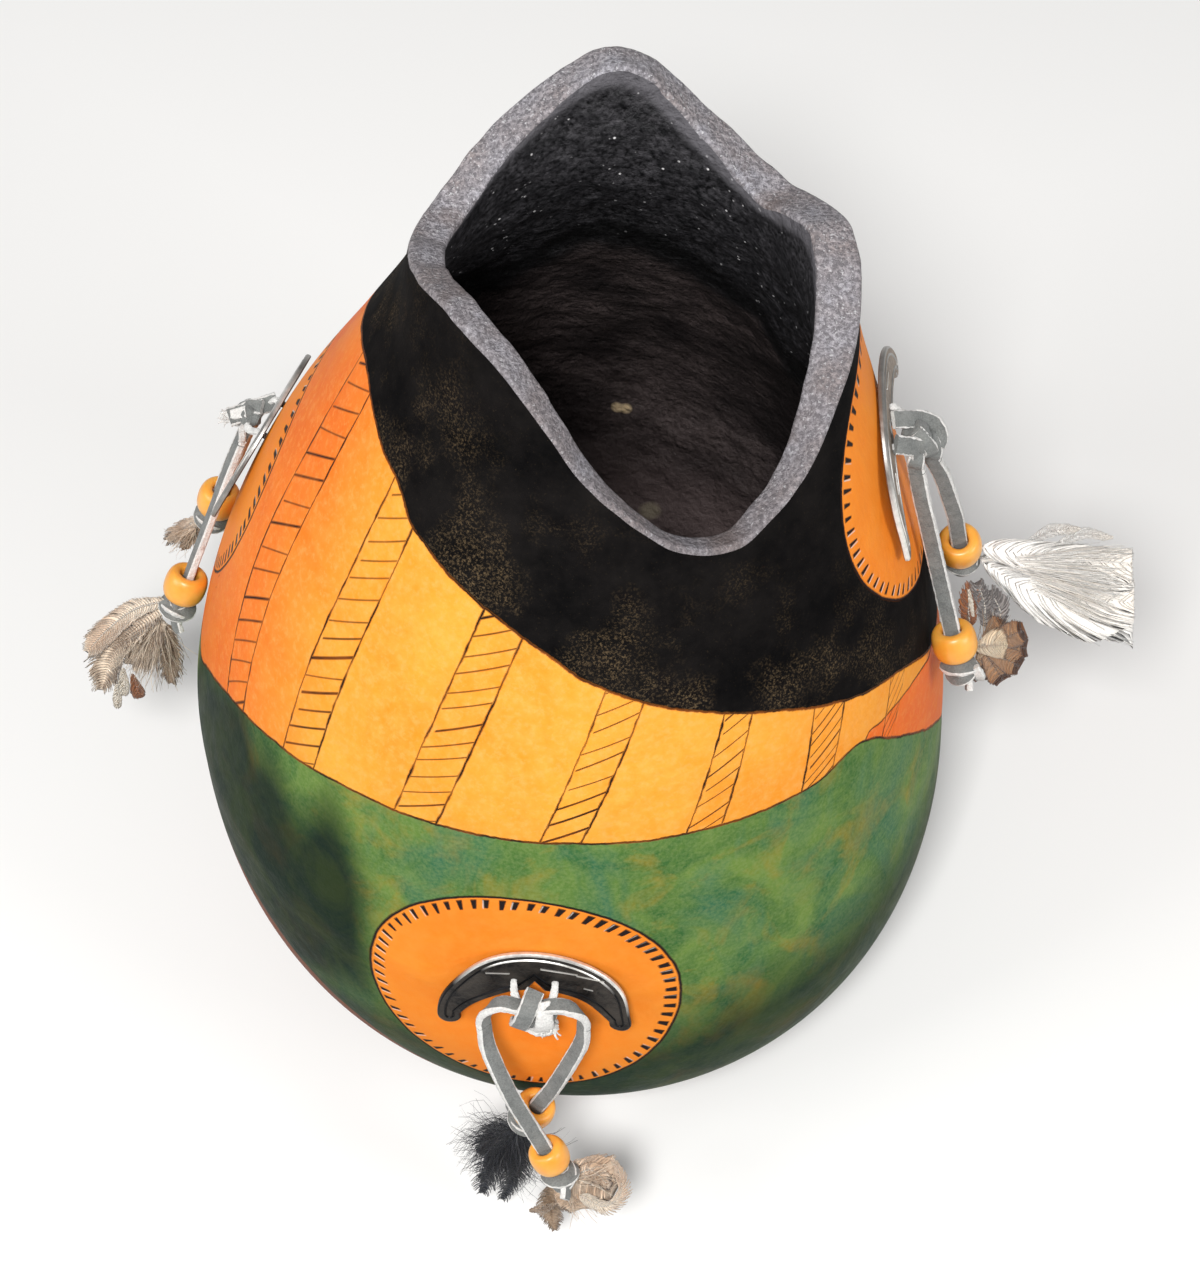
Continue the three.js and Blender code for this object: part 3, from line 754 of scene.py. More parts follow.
def makeFeathers():
    feather = Finish("featherBarbs")
    hair = feather.ramp(feather.grain(0.5, 2, 0.5), 0.3, 0.7, 0.86, 1.0)
    tinted = feather.mix(1.0, feather.attribute("tint", "Color"), hair, "MULTIPLY")
    feather.set(Base_Color=tinted, Roughness=0.85, Sheen_Weight=0.25, Specular_IOR_Level=0.15)
    # plumes are laid out as seen from the front and above: right, up, towards the viewer, from the root
    tilt = math.radians(view["tilt"])
    axes = np.array([(1, 0, 0), (0, math.cos(tilt), math.sin(tilt)), (0, -math.sin(tilt), math.cos(tilt))])
    pieces = {}

    def wave(t, u, a, b):
        return 0.5 + 0.5 * math.sin(a * t + b * abs(u))

    def tan(t, u, rnd):
        if t > 0.72 and abs(u) > 0.55:
            return shadeOf((0.10, 0.065, 0.045), (0.50, 0.36, 0.26), rnd.random() ** 1.5, rnd)
        return shadeOf((0.62, 0.43, 0.29), (0.98, 0.80, 0.62), wave(t, u, 6, 3), rnd, 0.3)

    def umber(t, u, rnd):
        return shadeOf((0.26, 0.165, 0.095), (0.62, 0.45, 0.31), wave(t, u, 8, 5) * (1 - 0.3 * t), rnd, 0.3)

    def cream(t, u, rnd):
        return shadeOf((0.78, 0.58, 0.42), (0.98, 0.86, 0.70), wave(t, u, 5, 2), rnd, 0.3)

    def black(t, u, rnd):
        return shadeOf((0.004, 0.005, 0.008), (0.055, 0.06, 0.075), rnd.random() ** 2.2, rnd)

    def brown(t, u, rnd):
        if t > 0.86 or abs(u) > 0.8:
            return shadeOf((0.055, 0.022, 0.012), (0.17, 0.07, 0.03), rnd.random(), rnd)
        return shadeOf((0.60, 0.35, 0.19), (0.34, 0.16, 0.075), 0.4 * t + 0.5 * abs(u), rnd, 0.2)

    def heart(t, u, rnd):
        if abs(u) > 0.86:
            return shadeOf((0.22, 0.10, 0.05), (0.5, 0.3, 0.16), rnd.random(), rnd)
        return shadeOf((0.80, 0.58, 0.36), (0.98, 0.86, 0.66), 0.7 - 0.4 * abs(u), rnd, 0.2)

    def white(t, u, rnd):
        return shadeOf((1.0, 0.98, 0.94), (1.0, 0.90, 0.78), max(0, 1.1 * t - 0.4) + 0.12 * abs(u), rnd, 0.04)

    def ash(t, u, rnd):
        return shadeOf((0.36, 0.26, 0.185), (0.98, 0.82, 0.64), wave(t, u, 9, 6), rnd, 0.35)

    def ivory(t, u, rnd):
        return shadeOf((0.90, 0.76, 0.58), (0.99, 0.93, 0.82), rnd.random(), rnd)

    def rust(t, u, rnd):
        return shadeOf((0.28, 0.09, 0.03), (0.50, 0.20, 0.08), rnd.random(), rnd)

    def slate(t, u, rnd):
        return shadeOf((0.10, 0.085, 0.08), (0.50, 0.46, 0.44), rnd.random() ** 2, rnd)

    plumes = {  # shaft, widths to the left and right along it, colours, and what else differs
        "front_near": [
            {"shaft": [(-1.5, 0.5, 0), (-2.6, -3, -3), (-3.4, -7.5, -8), (-2.7, -12.8, -13)], "left": (1.0, 2.6, 2.8, 2.2, 0.6),
             "right": (1.2, 2.8, 3.0, 2.0, 0.5), "tint": umber, "stem": 0, "vane": 0.7, "ragged": 0.4, "density": 7},
            {"shaft": [(-1.7, 0.4, -0.4), (-0.6, -3, -2), (1.2, -7.4, -5)], "left": (2.4, 6.2, 8.0, 7.0, 4.2),
             "right": (0.8, 2.0, 2.6, 2.2, 0.8), "tint": tan, "stem": 0.8, "stemTint": (0.95, 0.9, 0.82), "ahead": (0.2, 0.5),
             "cup": -0.08, "density": 3.5},
            {"shaft": [(-0.8, 1.2, 0.2), (3.2, -0.6, 0.2), (8.6, -2.6, -1)], "left": (3.2, 6.6, 7.2, 5.8, 3.0),
             "right": (1.6, 3.6, 4.4, 3.6, 1.8), "tint": tan, "stem": 0.4, "stemTint": (0.95, 0.88, 0.78), "ahead": (0.3, 0.5),
             "cup": 0.06, "density": 3.5},
            {"shaft": [(2.4, -3.2, 0.6), (7.4, -5.4, 0.5), (10.4, -3.0, 0.5), (10.2, 1.2, 0.6), (8.8, 4.0, 0.8)],
             "left": (1.2, 1.6, 1.5, 1.0, 0.3), "right": (1.2, 1.6, 1.6, 1.1, 0.4), "tint": cream, "stem": 0.2, "cup": 0.1,
             "vane": 0.6, "ragged": 0.4, "density": 7, "ahead": (1.6, 2.2)},
            {"shaft": [(1.0, 0.6, 0.6), (4.6, 1.8, 0.8), (8.0, -1.2, 0)], "left": (0.8, 1.6, 1.7, 0.7),
             "right": (0.9, 1.8, 1.9, 0.8), "tint": tan, "stem": 0.3, "cup": 0.2},
            {"shaft": [(-2.2, -5.6, -6), (-4.6, -7.2, -7), (-7.6, -7.7, -7.5)], "left": (0.9, 1.1, 0.3), "right": (0.9, 1.2, 0.3),
             "tint": umber, "stem": 0, "vane": 0.6, "ragged": 0.4, "density": 7},
        ],
        "front_rear": [
            {"shaft": [(0.4, 1.6, 0), (-2.8, -3, -3), (-6, -8.5, -7), (-8, -14.8, -12)], "left": (2.2, 3.4, 3.6, 3.0, 1.0),
             "right": (2.2, 3.8, 4.0, 3.2, 1.0), "tint": black, "stem": 0, "ragged": 0.5, "split": 0.3, "vane": 0.55},
            {"shaft": [(0.4, 1.6, 1), (-0.8, -5, -4), (-1.6, -11, -9), (-4.0, -16.5, -14)], "left": (2.2, 3.2, 3.4, 2.6, 0.8),
             "right": (2.0, 3.0, 3.0, 2.4, 0.8), "tint": black, "stem": 0, "ragged": 0.5, "split": 0.3, "vane": 0.55},
            {"shaft": [(0, 1.8, 0.5), (-4.4, -0.6, -1), (-8.4, -5.4, -5)], "left": (1.8, 3.0, 2.6, 0.8),
             "right": (2.0, 3.4, 3.0, 0.9), "tint": black, "stem": 0, "ragged": 0.5, "split": 0.3, "vane": 0.55},
        ],
        "right_near": [
            {"shaft": [(-1.4, 6.6, -2.2), (-1.6, 10.2, -1.6), (-1.0, 13.6, -1.4)], "left": (1.6, 2.4, 1.6), "right": (1.6, 2.4, 1.6),
             "tint": rust, "ragged": 0.3},
            {"shaft": [(1.6, 6.6, -2.0), (1.4, 11, -1.4), (0.2, 14.6, -1.2)], "left": (1.2, 2.2, 1.4), "right": (1.2, 2.0, 1.2),
             "tint": slate, "ragged": 0.3},
            {"shaft": [(4.6, 6.4, -2.2), (4.4, 9.8, -1.6), (2.6, 13.2, -1.4)], "left": (1.0, 1.8, 1.0), "right": (1.4, 2.4, 1.2),
             "tint": slate, "ragged": 0.3},
            {"shaft": [(-0.8, 8.4, -0.8), (-1.7, 13.6, -0.6)], "left": (0.3, 0.5, 0.2), "right": (0.3, 0.5, 0.2), "tint": ivory},
            *[{"shaft": [(0.6, 2.6, -0.8 + lift), (x * 0.55 + 0.3, y * 0.55 + 1.2, -0.4 + lift), (x, y, -0.9 + lift)],
               "left": (0.5, 1.6, 2.5, 2.7, 1.7), "right": (0.5, 1.6, 2.5, 2.7, 1.7), "tint": brown, "stem": 0.25,
               "stemTint": (0.16, 0.07, 0.03), "ahead": (1.0, 0.25), "ragged": 0.03, "split": 0, "density": 4}
              for x, y, lift in ((5.4, 7.4, -0.9), (1.2, -3.8, -0.6), (9.0, 5.8, 0), (5.0, -3.9, -0.3), (9.6, 2.4, -0.3), (8.2, -1.2, 0))],
            {"shaft": [(-0.6, 2.4, 0.7), (2.4, 2.9, 1.3), (5.6, 2.8, 0.8)], "left": (1.2, 3.0, 3.1, 1.8, 0.2),
             "right": (1.2, 2.9, 3.0, 1.7, 0.2), "tint": heart, "stem": 0.3, "stemTint": (0.7, 0.5, 0.3), "ahead": (0.8, 0.9),
             "ragged": 0.04, "split": 0, "density": 4},
        ],
        "right_far": [
            {"shaft": [(-0.6, 0.6, 0), (8, -2.2, 0.4), (16, -3.4, 0.4), (29.6, -3.8, 0)], "left": (4.2, 6.4, 7.2, 6.6, 6.0, 5.6),
             "right": (3.0, 8.0, 10.6, 9.4, 8.0, 6.4), "tint": white, "cut": 29.4, "ahead": (2.0, 3.4), "density": 0.7,
             "ragged": 0.05, "barb": 0.24, "fine": 0.5, "vane": 0.98, "stem": 0.6, "stemTint": (0.98, 0.94, 0.88)},
            {"shaft": [(-0.4, 2.4, 0.8), (8, 1.2, 1.4), (17, 0, 1.3), (29.6, -0.8, 0.7)], "left": (2.6, 3.2, 3.6, 3.4, 3.0, 2.8),
             "right": (3.0, 4.4, 5.0, 5.0, 5.0, 4.8), "tint": white, "cut": 29.2, "ahead": (2.0, 3.4), "density": 0.7,
             "ragged": 0.06, "barb": 0.24, "fine": 0.5, "vane": 0.98, "stem": 0},
            {"shaft": [(0, -0.6, 1.3), (7, -5, 1.7), (15, -8, 1.5), (29.6, -8.2, 0.7)], "left": (2.0, 4.2, 5.0, 5.0, 4.6, 4.2),
             "right": (1.6, 4.2, 5.2, 4.2, 3.0, 2.4), "tint": white, "cut": 29.6, "ahead": (2.0, 3.4), "density": 0.7,
             "ragged": 0.06, "barb": 0.24, "fine": 0.5, "vane": 0.98, "stem": 0},
            {"shaft": [(8.6, 3.4, 0.8), (12.6, 5.4, 1.4), (18.4, 6.2, 1.6)], "left": (0.7, 1.3, 0.9, 0.2), "right": (1.0, 1.6, 1.2, 0.3),
             "tint": white, "stem": 0, "ahead": (1.6, 2.4), "density": 5},
            {"shaft": [(14.6, 3.2, 0.8), (19.4, 5.0, 1.2), (25.0, 4.4, 1.3)], "left": (0.7, 1.2, 0.8, 0.2), "right": (0.8, 1.4, 1.0, 0.2),
             "tint": white, "stem": 0, "ahead": (1.6, 2.4), "density": 5},
        ],
        "left_near": [
            {"shaft": [(1.2, -1.5, -0.6), (1.4, -7, -3.5), (1.0, -13.4, -7)], "left": (1.4, 2.6, 2.4, 0.7), "right": (1.4, 3.0, 2.6, 0.6),
             "tint": umber, "stem": 0, "ragged": 0.4, "split": 0.25, "vane": 0.75, "density": 6},
            {"shaft": [(0.4, -0.6, 0.2), (-3.4, -4.6, -1.6), (-7, -9.4, -5)], "left": (2.0, 4.4, 4.8, 3.6, 1.4),
             "right": (2.0, 4.0, 4.6, 3.4, 1.2), "tint": ash, "stem": 0, "ragged": 0.3, "split": 0.2, "vane": 0.8, "density": 5},
            {"shaft": [(-8.5, -10.4, -4.4), (-8.8, -15.8, -7)], "left": (0.5, 1.3, 1.1, 0.3), "right": (0.5, 1.2, 1.1, 0.3),
             "tint": ivory, "ahead": (1.6, 1.8), "ragged": 0.05, "density": 5, "stem": 0},
            {"shaft": [(-6.8, -11.6, -5), (-5.8, -16.4, -8)], "left": (0.5, 1.6, 1.4, 0.3), "right": (0.5, 1.4, 1.2, 0.3),
             "tint": rust, "ahead": (1.6, 1.8), "density": 4, "stem": 0},
            {"shaft": [(-10, -13.6, -6), (-10.4, -18.6, -8.5)], "left": (0.5, 1.0, 0.9, 0.2), "right": (0.5, 1.0, 0.8, 0.2),
             "tint": ivory, "ahead": (1.6, 1.8), "ragged": 0.05, "density": 5, "stem": 0},
            {"shaft": [(0, 1.4, 0.7), (-5.2, -2.2, 0), (-10.4, -7, -3.4), (-13.6, -14.6, -8)], "left": (1.6, 3.0, 3.8, 3.6, 1.0),
             "right": (1.8, 3.4, 4.4, 4.2, 1.2), "tint": ash, "stem": 0, "ragged": 0.3, "split": 0.2, "vane": 0.8, "density": 5},
            {"shaft": [(0.8, 3.4, 1.2), (-5, 1.9, 0.8), (-11, -2.2, -1.4), (-15.8, -6.8, -4.6)], "left": (1.0, 2.6, 3.0, 2.8, 0.9),
             "right": (1.2, 2.2, 2.6, 2.6, 0.8), "tint": cream, "stem": 0.5, "ahead": (0.9, 1.6), "ragged": 0.12},
        ],
        "left_far": [
            {"shaft": [(1.3, 2.4, 0), (-2.0, 0.6, -0.8), (-6.4, -2.4, -2.4)], "left": (1.0, 1.9, 2.0, 0.7), "right": (1.0, 1.9, 2.0, 0.6),
             "tint": tan, "stem": 0.3, "ragged": 0.3, "vane": 0.7, "density": 7},
            {"shaft": [(1.0, 1.6, -0.6), (-0.8, -1.2, -1.6), (-3.6, -4.0, -3)], "left": (0.9, 1.6, 1.5, 0.5), "right": (0.9, 1.5, 1.4, 0.4),
             "tint": umber, "stem": 0, "ragged": 0.25},
        ],
    }
    down = {  # directions, how loose, longest strand, how many, colours, strand, curl
        "front_near": ([(0.3, -0.9, -0.8), (1, 0.1, 0), (0.7, -0.7, -0.4)], 0.28, 11, 170, cream, 0.18, 0.9),
        "front_rear": ([(-0.45, -0.8, -0.6), (-0.1, -0.8, -0.6), (-0.8, -0.4, -0.3)], 0.36, 15, 1100, black, 0.16, 2.4),
        "right_near": ([(0.1, 0.9, -0.1), (0.4, 0.8, -0.1)], 0.2, 11, 50, umber, 0.2, 0.6),
        "right_far": ([(1, 0.04, 0.1), (1, -0.08, 0.12), (0.97, -0.2, 0.12), (0.92, -0.32, 0.12), (0.85, -0.44, 0.1)], 0.045, 28.5,
                      420, white, 0.3, 0.35),
        "left_near": ([(-0.7, -0.5, -0.3), (-0.3, -0.9, -0.4), (0.0, -1, -0.5)], 0.22, 16, 330, ash, 0.19, 0.9),
        "left_far": ([(-0.8, -0.5, -0.3)], 0.28, 8, 90, tan, 0.17, 0.7),
    }
    names = {"front_near": "tan", "front_rear": "black", "right_near": "brown", "right_far": "white", "left_near": "grey", "left_far": "small"}
    for name, kind in names.items():
        build = Builder()
        for k, look in enumerate(plumes[name]):
            addPlume(build, look, 21 + 10 * k + len(name))
        aims, spread, reach, count, tint, width, curl = down[name]
        addDown(build, np.zeros(3), aims, spread, reach, count, lambda rnd: tint(rnd.random(), rnd.random(), rnd), 5, width, curl)
        build.points = (np.array(build.points) @ axes + routes[name]["foot"]).tolist()
        pieces[name] = build.make(f"feathers_{kind}", [feather.material], 180, True)
        settle(pieces[name], tails[name]["body"], f"feather_{kind}", f"feathers_{name}")
    print("feathers made")
    return pieces


# ---- knots on the crescents ----

plateEye = {"across": 3.9, "up": -1.7, "radius": 0.8}  # where the laces come through a plate


def makeKnots(suede):
    # all in the lashing's own frame: across, up the skin, out of it
    wings = {  # from inside the knot towards each tail's root, with the way the broad side faces
        "front_near": ([(-0.9, -5.4, 4.8), (-3.6, -4.1, 5.2), (-6.2, -3.6, 5.4), (-8.3, -5.0, 5.8)],
                       [(0, 1, 0.2), (-0.1, 1, 0.15), (-0.7, 0.7, 0)]),
        "front_rear": ([(1.0, -5.2, 4.8), (3.2, -3.9, 5.1), (6.0, -3.8, 5.1), (8.4, -5.6, 5.0)],
                       [(0, 1, 0.2), (0.1, 1, 0.1), (0.7, 0.7, 0)]),
        "right_near": ([(-1.6, -5.2, 4.4), (-3.6, -6.4, 4.6), (-5.0, -8.2, 4.4)], [(0, 0.3, 1), (-0.7, 0.3, 0.6)]),
        "right_far": ([(-0.9, -6.8, 7.4), (-1.9, -9.2, 7.6), (-2.5, -11.2, 7.3)], [(0, 0.5, 1), (-0.8, 0.2, 0.6)]),
        "left_near": ([(0.3, -6.2, 4.8), (1.3, -8.6, 4.6), (2.2, -10.6, 4.1)], [(0, 0.5, 1), (0, 0, 1)]),
        "left_far": ([(-0.9, -6.2, 4.6), (-1.6, -8.8, 4.6), (-1.9, -11.0, 4.3)], [(0, 0.5, 1), (0, 0, 1)]),
    }
    strands = {  # centre line, facing, width, thickness, broad side's slot, end slot, taper
        "front": [
            ([(0.3, -1.9, 3.2), (-0.3, -2.5, 5.2), (-1.1, -4.2, 6.8), (-2.1, -6.8, 7.1), (-2.9, -9.2, 5.9), (-2.9, -9.9, 4.3)],
             [(0.3, 1, 0.1), (0.2, 0.8, 0.6), (0.1, 0.3, 1), (-0.1, 0, 1), (-0.3, -0.8, 0.6)], 3.5, 1.2, 0, 0, 0),
            ([(1.7, -3.0, 4.8), (2.2, -4.8, 6.3), (2.2, -7.2, 6.9), (1.9, -9.4, 6.3)],
             [(0.3, 0.7, 0.8), (0.2, 0, 1), (0.2, -0.4, 1)], 3.0, 1.3, 1, 1, -0.2),
            ([(-1.9, -9.8, 4.9), (0.3, -10.9, 5.6), (2.7, -10.5, 5.9), (4.3, -9.2, 5.5)],
             [(0, 0.8, 0.5), (0, 0.9, 0.3), (-0.3, 0.9, 0.3)], 2.2, 1.1, 1, 1, 0.3),
            ([(4.0, -6.6, 4.0), (3.4, -8.2, 4.9), (4.1, -9.6, 4.4)], (0.3, -0.2, 1), 1.6, 0.9, 0, 1, 0.3),
        ],
        "right": [
            ([(1.0, -0.6, 1.9), (1.5, -2.6, 3.8), (2.4, -5.6, 6.2), (2.2, -8.2, 8.2), (0.2, -9.2, 9.0), (-1.7, -9.4, 8.3)],
             [(-0.2, 1, 0.5), (-0.2, 0.9, 0.6), (-0.5, 0.8, 0.4), (-0.8, 0.5, 0.1), (-0.9, 0.4, -0.1)], 3.3, 1.0, 0, 1, 0),
            ([(-3.7, -0.9, 2.0), (-3.5, -2.9, 3.9), (-3.3, -5.0, 5.2), (-3.8, -6.9, 5.2)],
             [(-0.5, 0.9, 0.5), (-0.6, 0.6, 0.7), (-0.8, 0.3, 0.6)], 3.5, 1.2, 0, 0, 0),
            ([(-0.7, -3.6, 5.4), (-2.2, -5.6, 6.9), (-2.9, -8.0, 7.4), (-3.0, -9.8, 6.6)],
             [(-0.7, 0.8, 0.5), (-0.9, 0.4, 0.5), (-1, 0, 0.3)], 2.8, 1.2, 0, 1, 0.1),
        ],
        "left": [
            ([(-4.6, -3.0, 1.6), (-2.6, -4.0, 3.4), (0.3, -5.2, 5.9), (2.6, -6.0, 8.0)],
             [(0.5, 0.9, -0.2), (0.4, 1, 0.1), (0.4, 0.9, 0.2)], 3.4, 1.3, 0, 1, -0.1),
            ([(-1.5, -2.6, 3.4), (-0.9, -4.2, 5.6), (0.2, -6.6, 6.9), (1.0, -9.2, 6.0)],
             [(0.2, 1, 0.2), (0.3, 0.7, 0.8), (0.2, 0, 1)], 3.0, 1.2, 0, 1, 0.1),
            ([(0.6, -3.8, 5.6), (2.0, -5.6, 7.9), (2.6, -7.4, 9.4)], (0.5, 0.8, 0.5), 2.4, 0.9, 1, 1, 0.3),
        ],
    }
    lumps = {
        "front": ((0.2, -6.6, 4.7), (3.0, 3.4, 1.9)),
        "right": ((-0.9, -6.2, 5.3), (2.9, 3.2, 2.6)),
        "left": ((-0.4, -6.0, 4.9), (2.7, 3.3, 2.4)),
    }
    noseGap = 0.12
    for place in lashings:
        build = Builder()
        seed = 100 + 10 * list(lashings).index(place)
        inside = -(float(wallAt(lashings[place]["bearing"])) + 2 * lace["gap"] + lace["thickness"] / 2)
        for s in (-1, 1):  # the legs through the wall and, drawn narrow, through the plate's eyes
            x, eye = s * lace["eyeSpacing"] / 2, plateEye
            leg = smoothRoute([(x, 0, inside), (x, 0, inside / 2), (x, 0, -1.0), (x, -0.2, -0.5)], 16)
            addRibbon(build, leg, (0, 1, 0.15), lace["width"] * 0.94, lace["thickness"], seed + s)
            x = s * eye["across"]
            pulled = smoothRoute([
                (x, eye["up"] + 0.3, -0.8), (x, eye["up"], 0.6), (x, eye["up"] - 0.1, 1.9), (x * 0.97, eye["up"] - 1.2, 2.5),
                (x * 0.92, -3.6, 3.0), (x * 0.75, -4.6, 4.0), (x * 0.4, -5.6, 4.6),
            ], 34)
            facing = turning([(0, 1, 0.15), (0, 1, 0.3), (0, 0.6, 1), (0.3 * s, 0.2, 1), (0.4 * s, 0.2, 1)], 34)
            addRibbon(build, pulled, facing, eye["radius"] * 1.3, eye["radius"] * 1.1, seed + 5 + s, 0.08, False, 1, 1, -0.7)
        reach = (lace["eyeSpacing"] + lace["width"]) / 2
        run = np.array([(x, 0, inside) for x in np.linspace(-reach, reach, 12)])
        addRibbon(build, run, (0, 0, 1), lace["width"], lace["thickness"], seed + 3)
        addLump(build, *lumps[place], seed, 0.35)
        for k, (points, facing, width, thick, broad, ends, taper) in enumerate(strands[place]):
            line = smoothRoute(points, 26)
            addRibbon(build, line, turning(facing, 26), width, thick, seed + 20 + k, 0.10, False, broad, ends, taper)
        rnd = random.Random(seed)
        tuft, aim = {"front": ((2.6, -9.0, 6.0), (0.2, -1, 0.2)), "right": ((0.6, -9.6, 7.4), (0.1, -0.8, 0.7)),
                     "left": ((2.0, -6.2, 8.2), (0.6, -0.2, 0.8))}[place]
        for _ in range(26):  # frayed fibres
            a = np.array(tuft) + [rnd.uniform(-1.6, 1.6), rnd.uniform(-0.7, 0.9), rnd.uniform(-1.2, 0.8)]
            way = unit(np.array(aim) + [rnd.uniform(-0.8, 0.8), rnd.uniform(-0.5, 0.5), rnd.uniform(-0.6, 0.6)])
            long = rnd.uniform(0.8, 2.2)
            bowed = smoothRoute([a, a + way * long * 0.6 + [0, 0, 0.3], a + way * long], 5)
            addRibbon(build, bowed, (0, 0, 1), rnd.uniform(0.2, 0.6), 0.25, seed + 7, 0.05, False, 1, 1, 0.6)
        for name, tail in tails.items():
            if tail["lashing"] != place:
                continue
            route = routes[name]
            root = route["line"][0]
            start = toLashing(place, root - route["heading"] * noseGap)
            before = toLashing(place, root - route["heading"] * (noseGap + 1.3))
            points, facing = wings[name]
            wing = smoothRoute([*points, before, start], 34)
            last = toLashing(place, root + twisted(route["line"], *tail["twist"])[0]) - toLashing(place, root)
            if np.dot(last, facing[-1]) < 0:
                last = -last
            addRibbon(build, wing, turning([*facing, last, last], 34), lace["width"], lace["thickness"], seed + 9, ends=0)
            # a round nose on the hinge, inside the tail's end, so that the tail can turn about it
            down = toLashing(place, root + route["heading"]) - toLashing(place, root)
            last = unit(last - down * np.dot(last, down))
            nose = np.stack([np.cross(last, down), down, last])
            size = (lace["width"] * 0.48, 0.72, lace["thickness"] * 0.47)
            addLump(build, toLashing(place, root), size, seed, 0.05, 0, 20, 12, nose)
        build.points = toWorld(place, build.points).tolist()
        piece = build.make(f"suede_knot_{place}", suede)
        settle(piece, "gourd", "suede", f"knot_{place}")
    print("knots made")


# ---- crescent plates ----

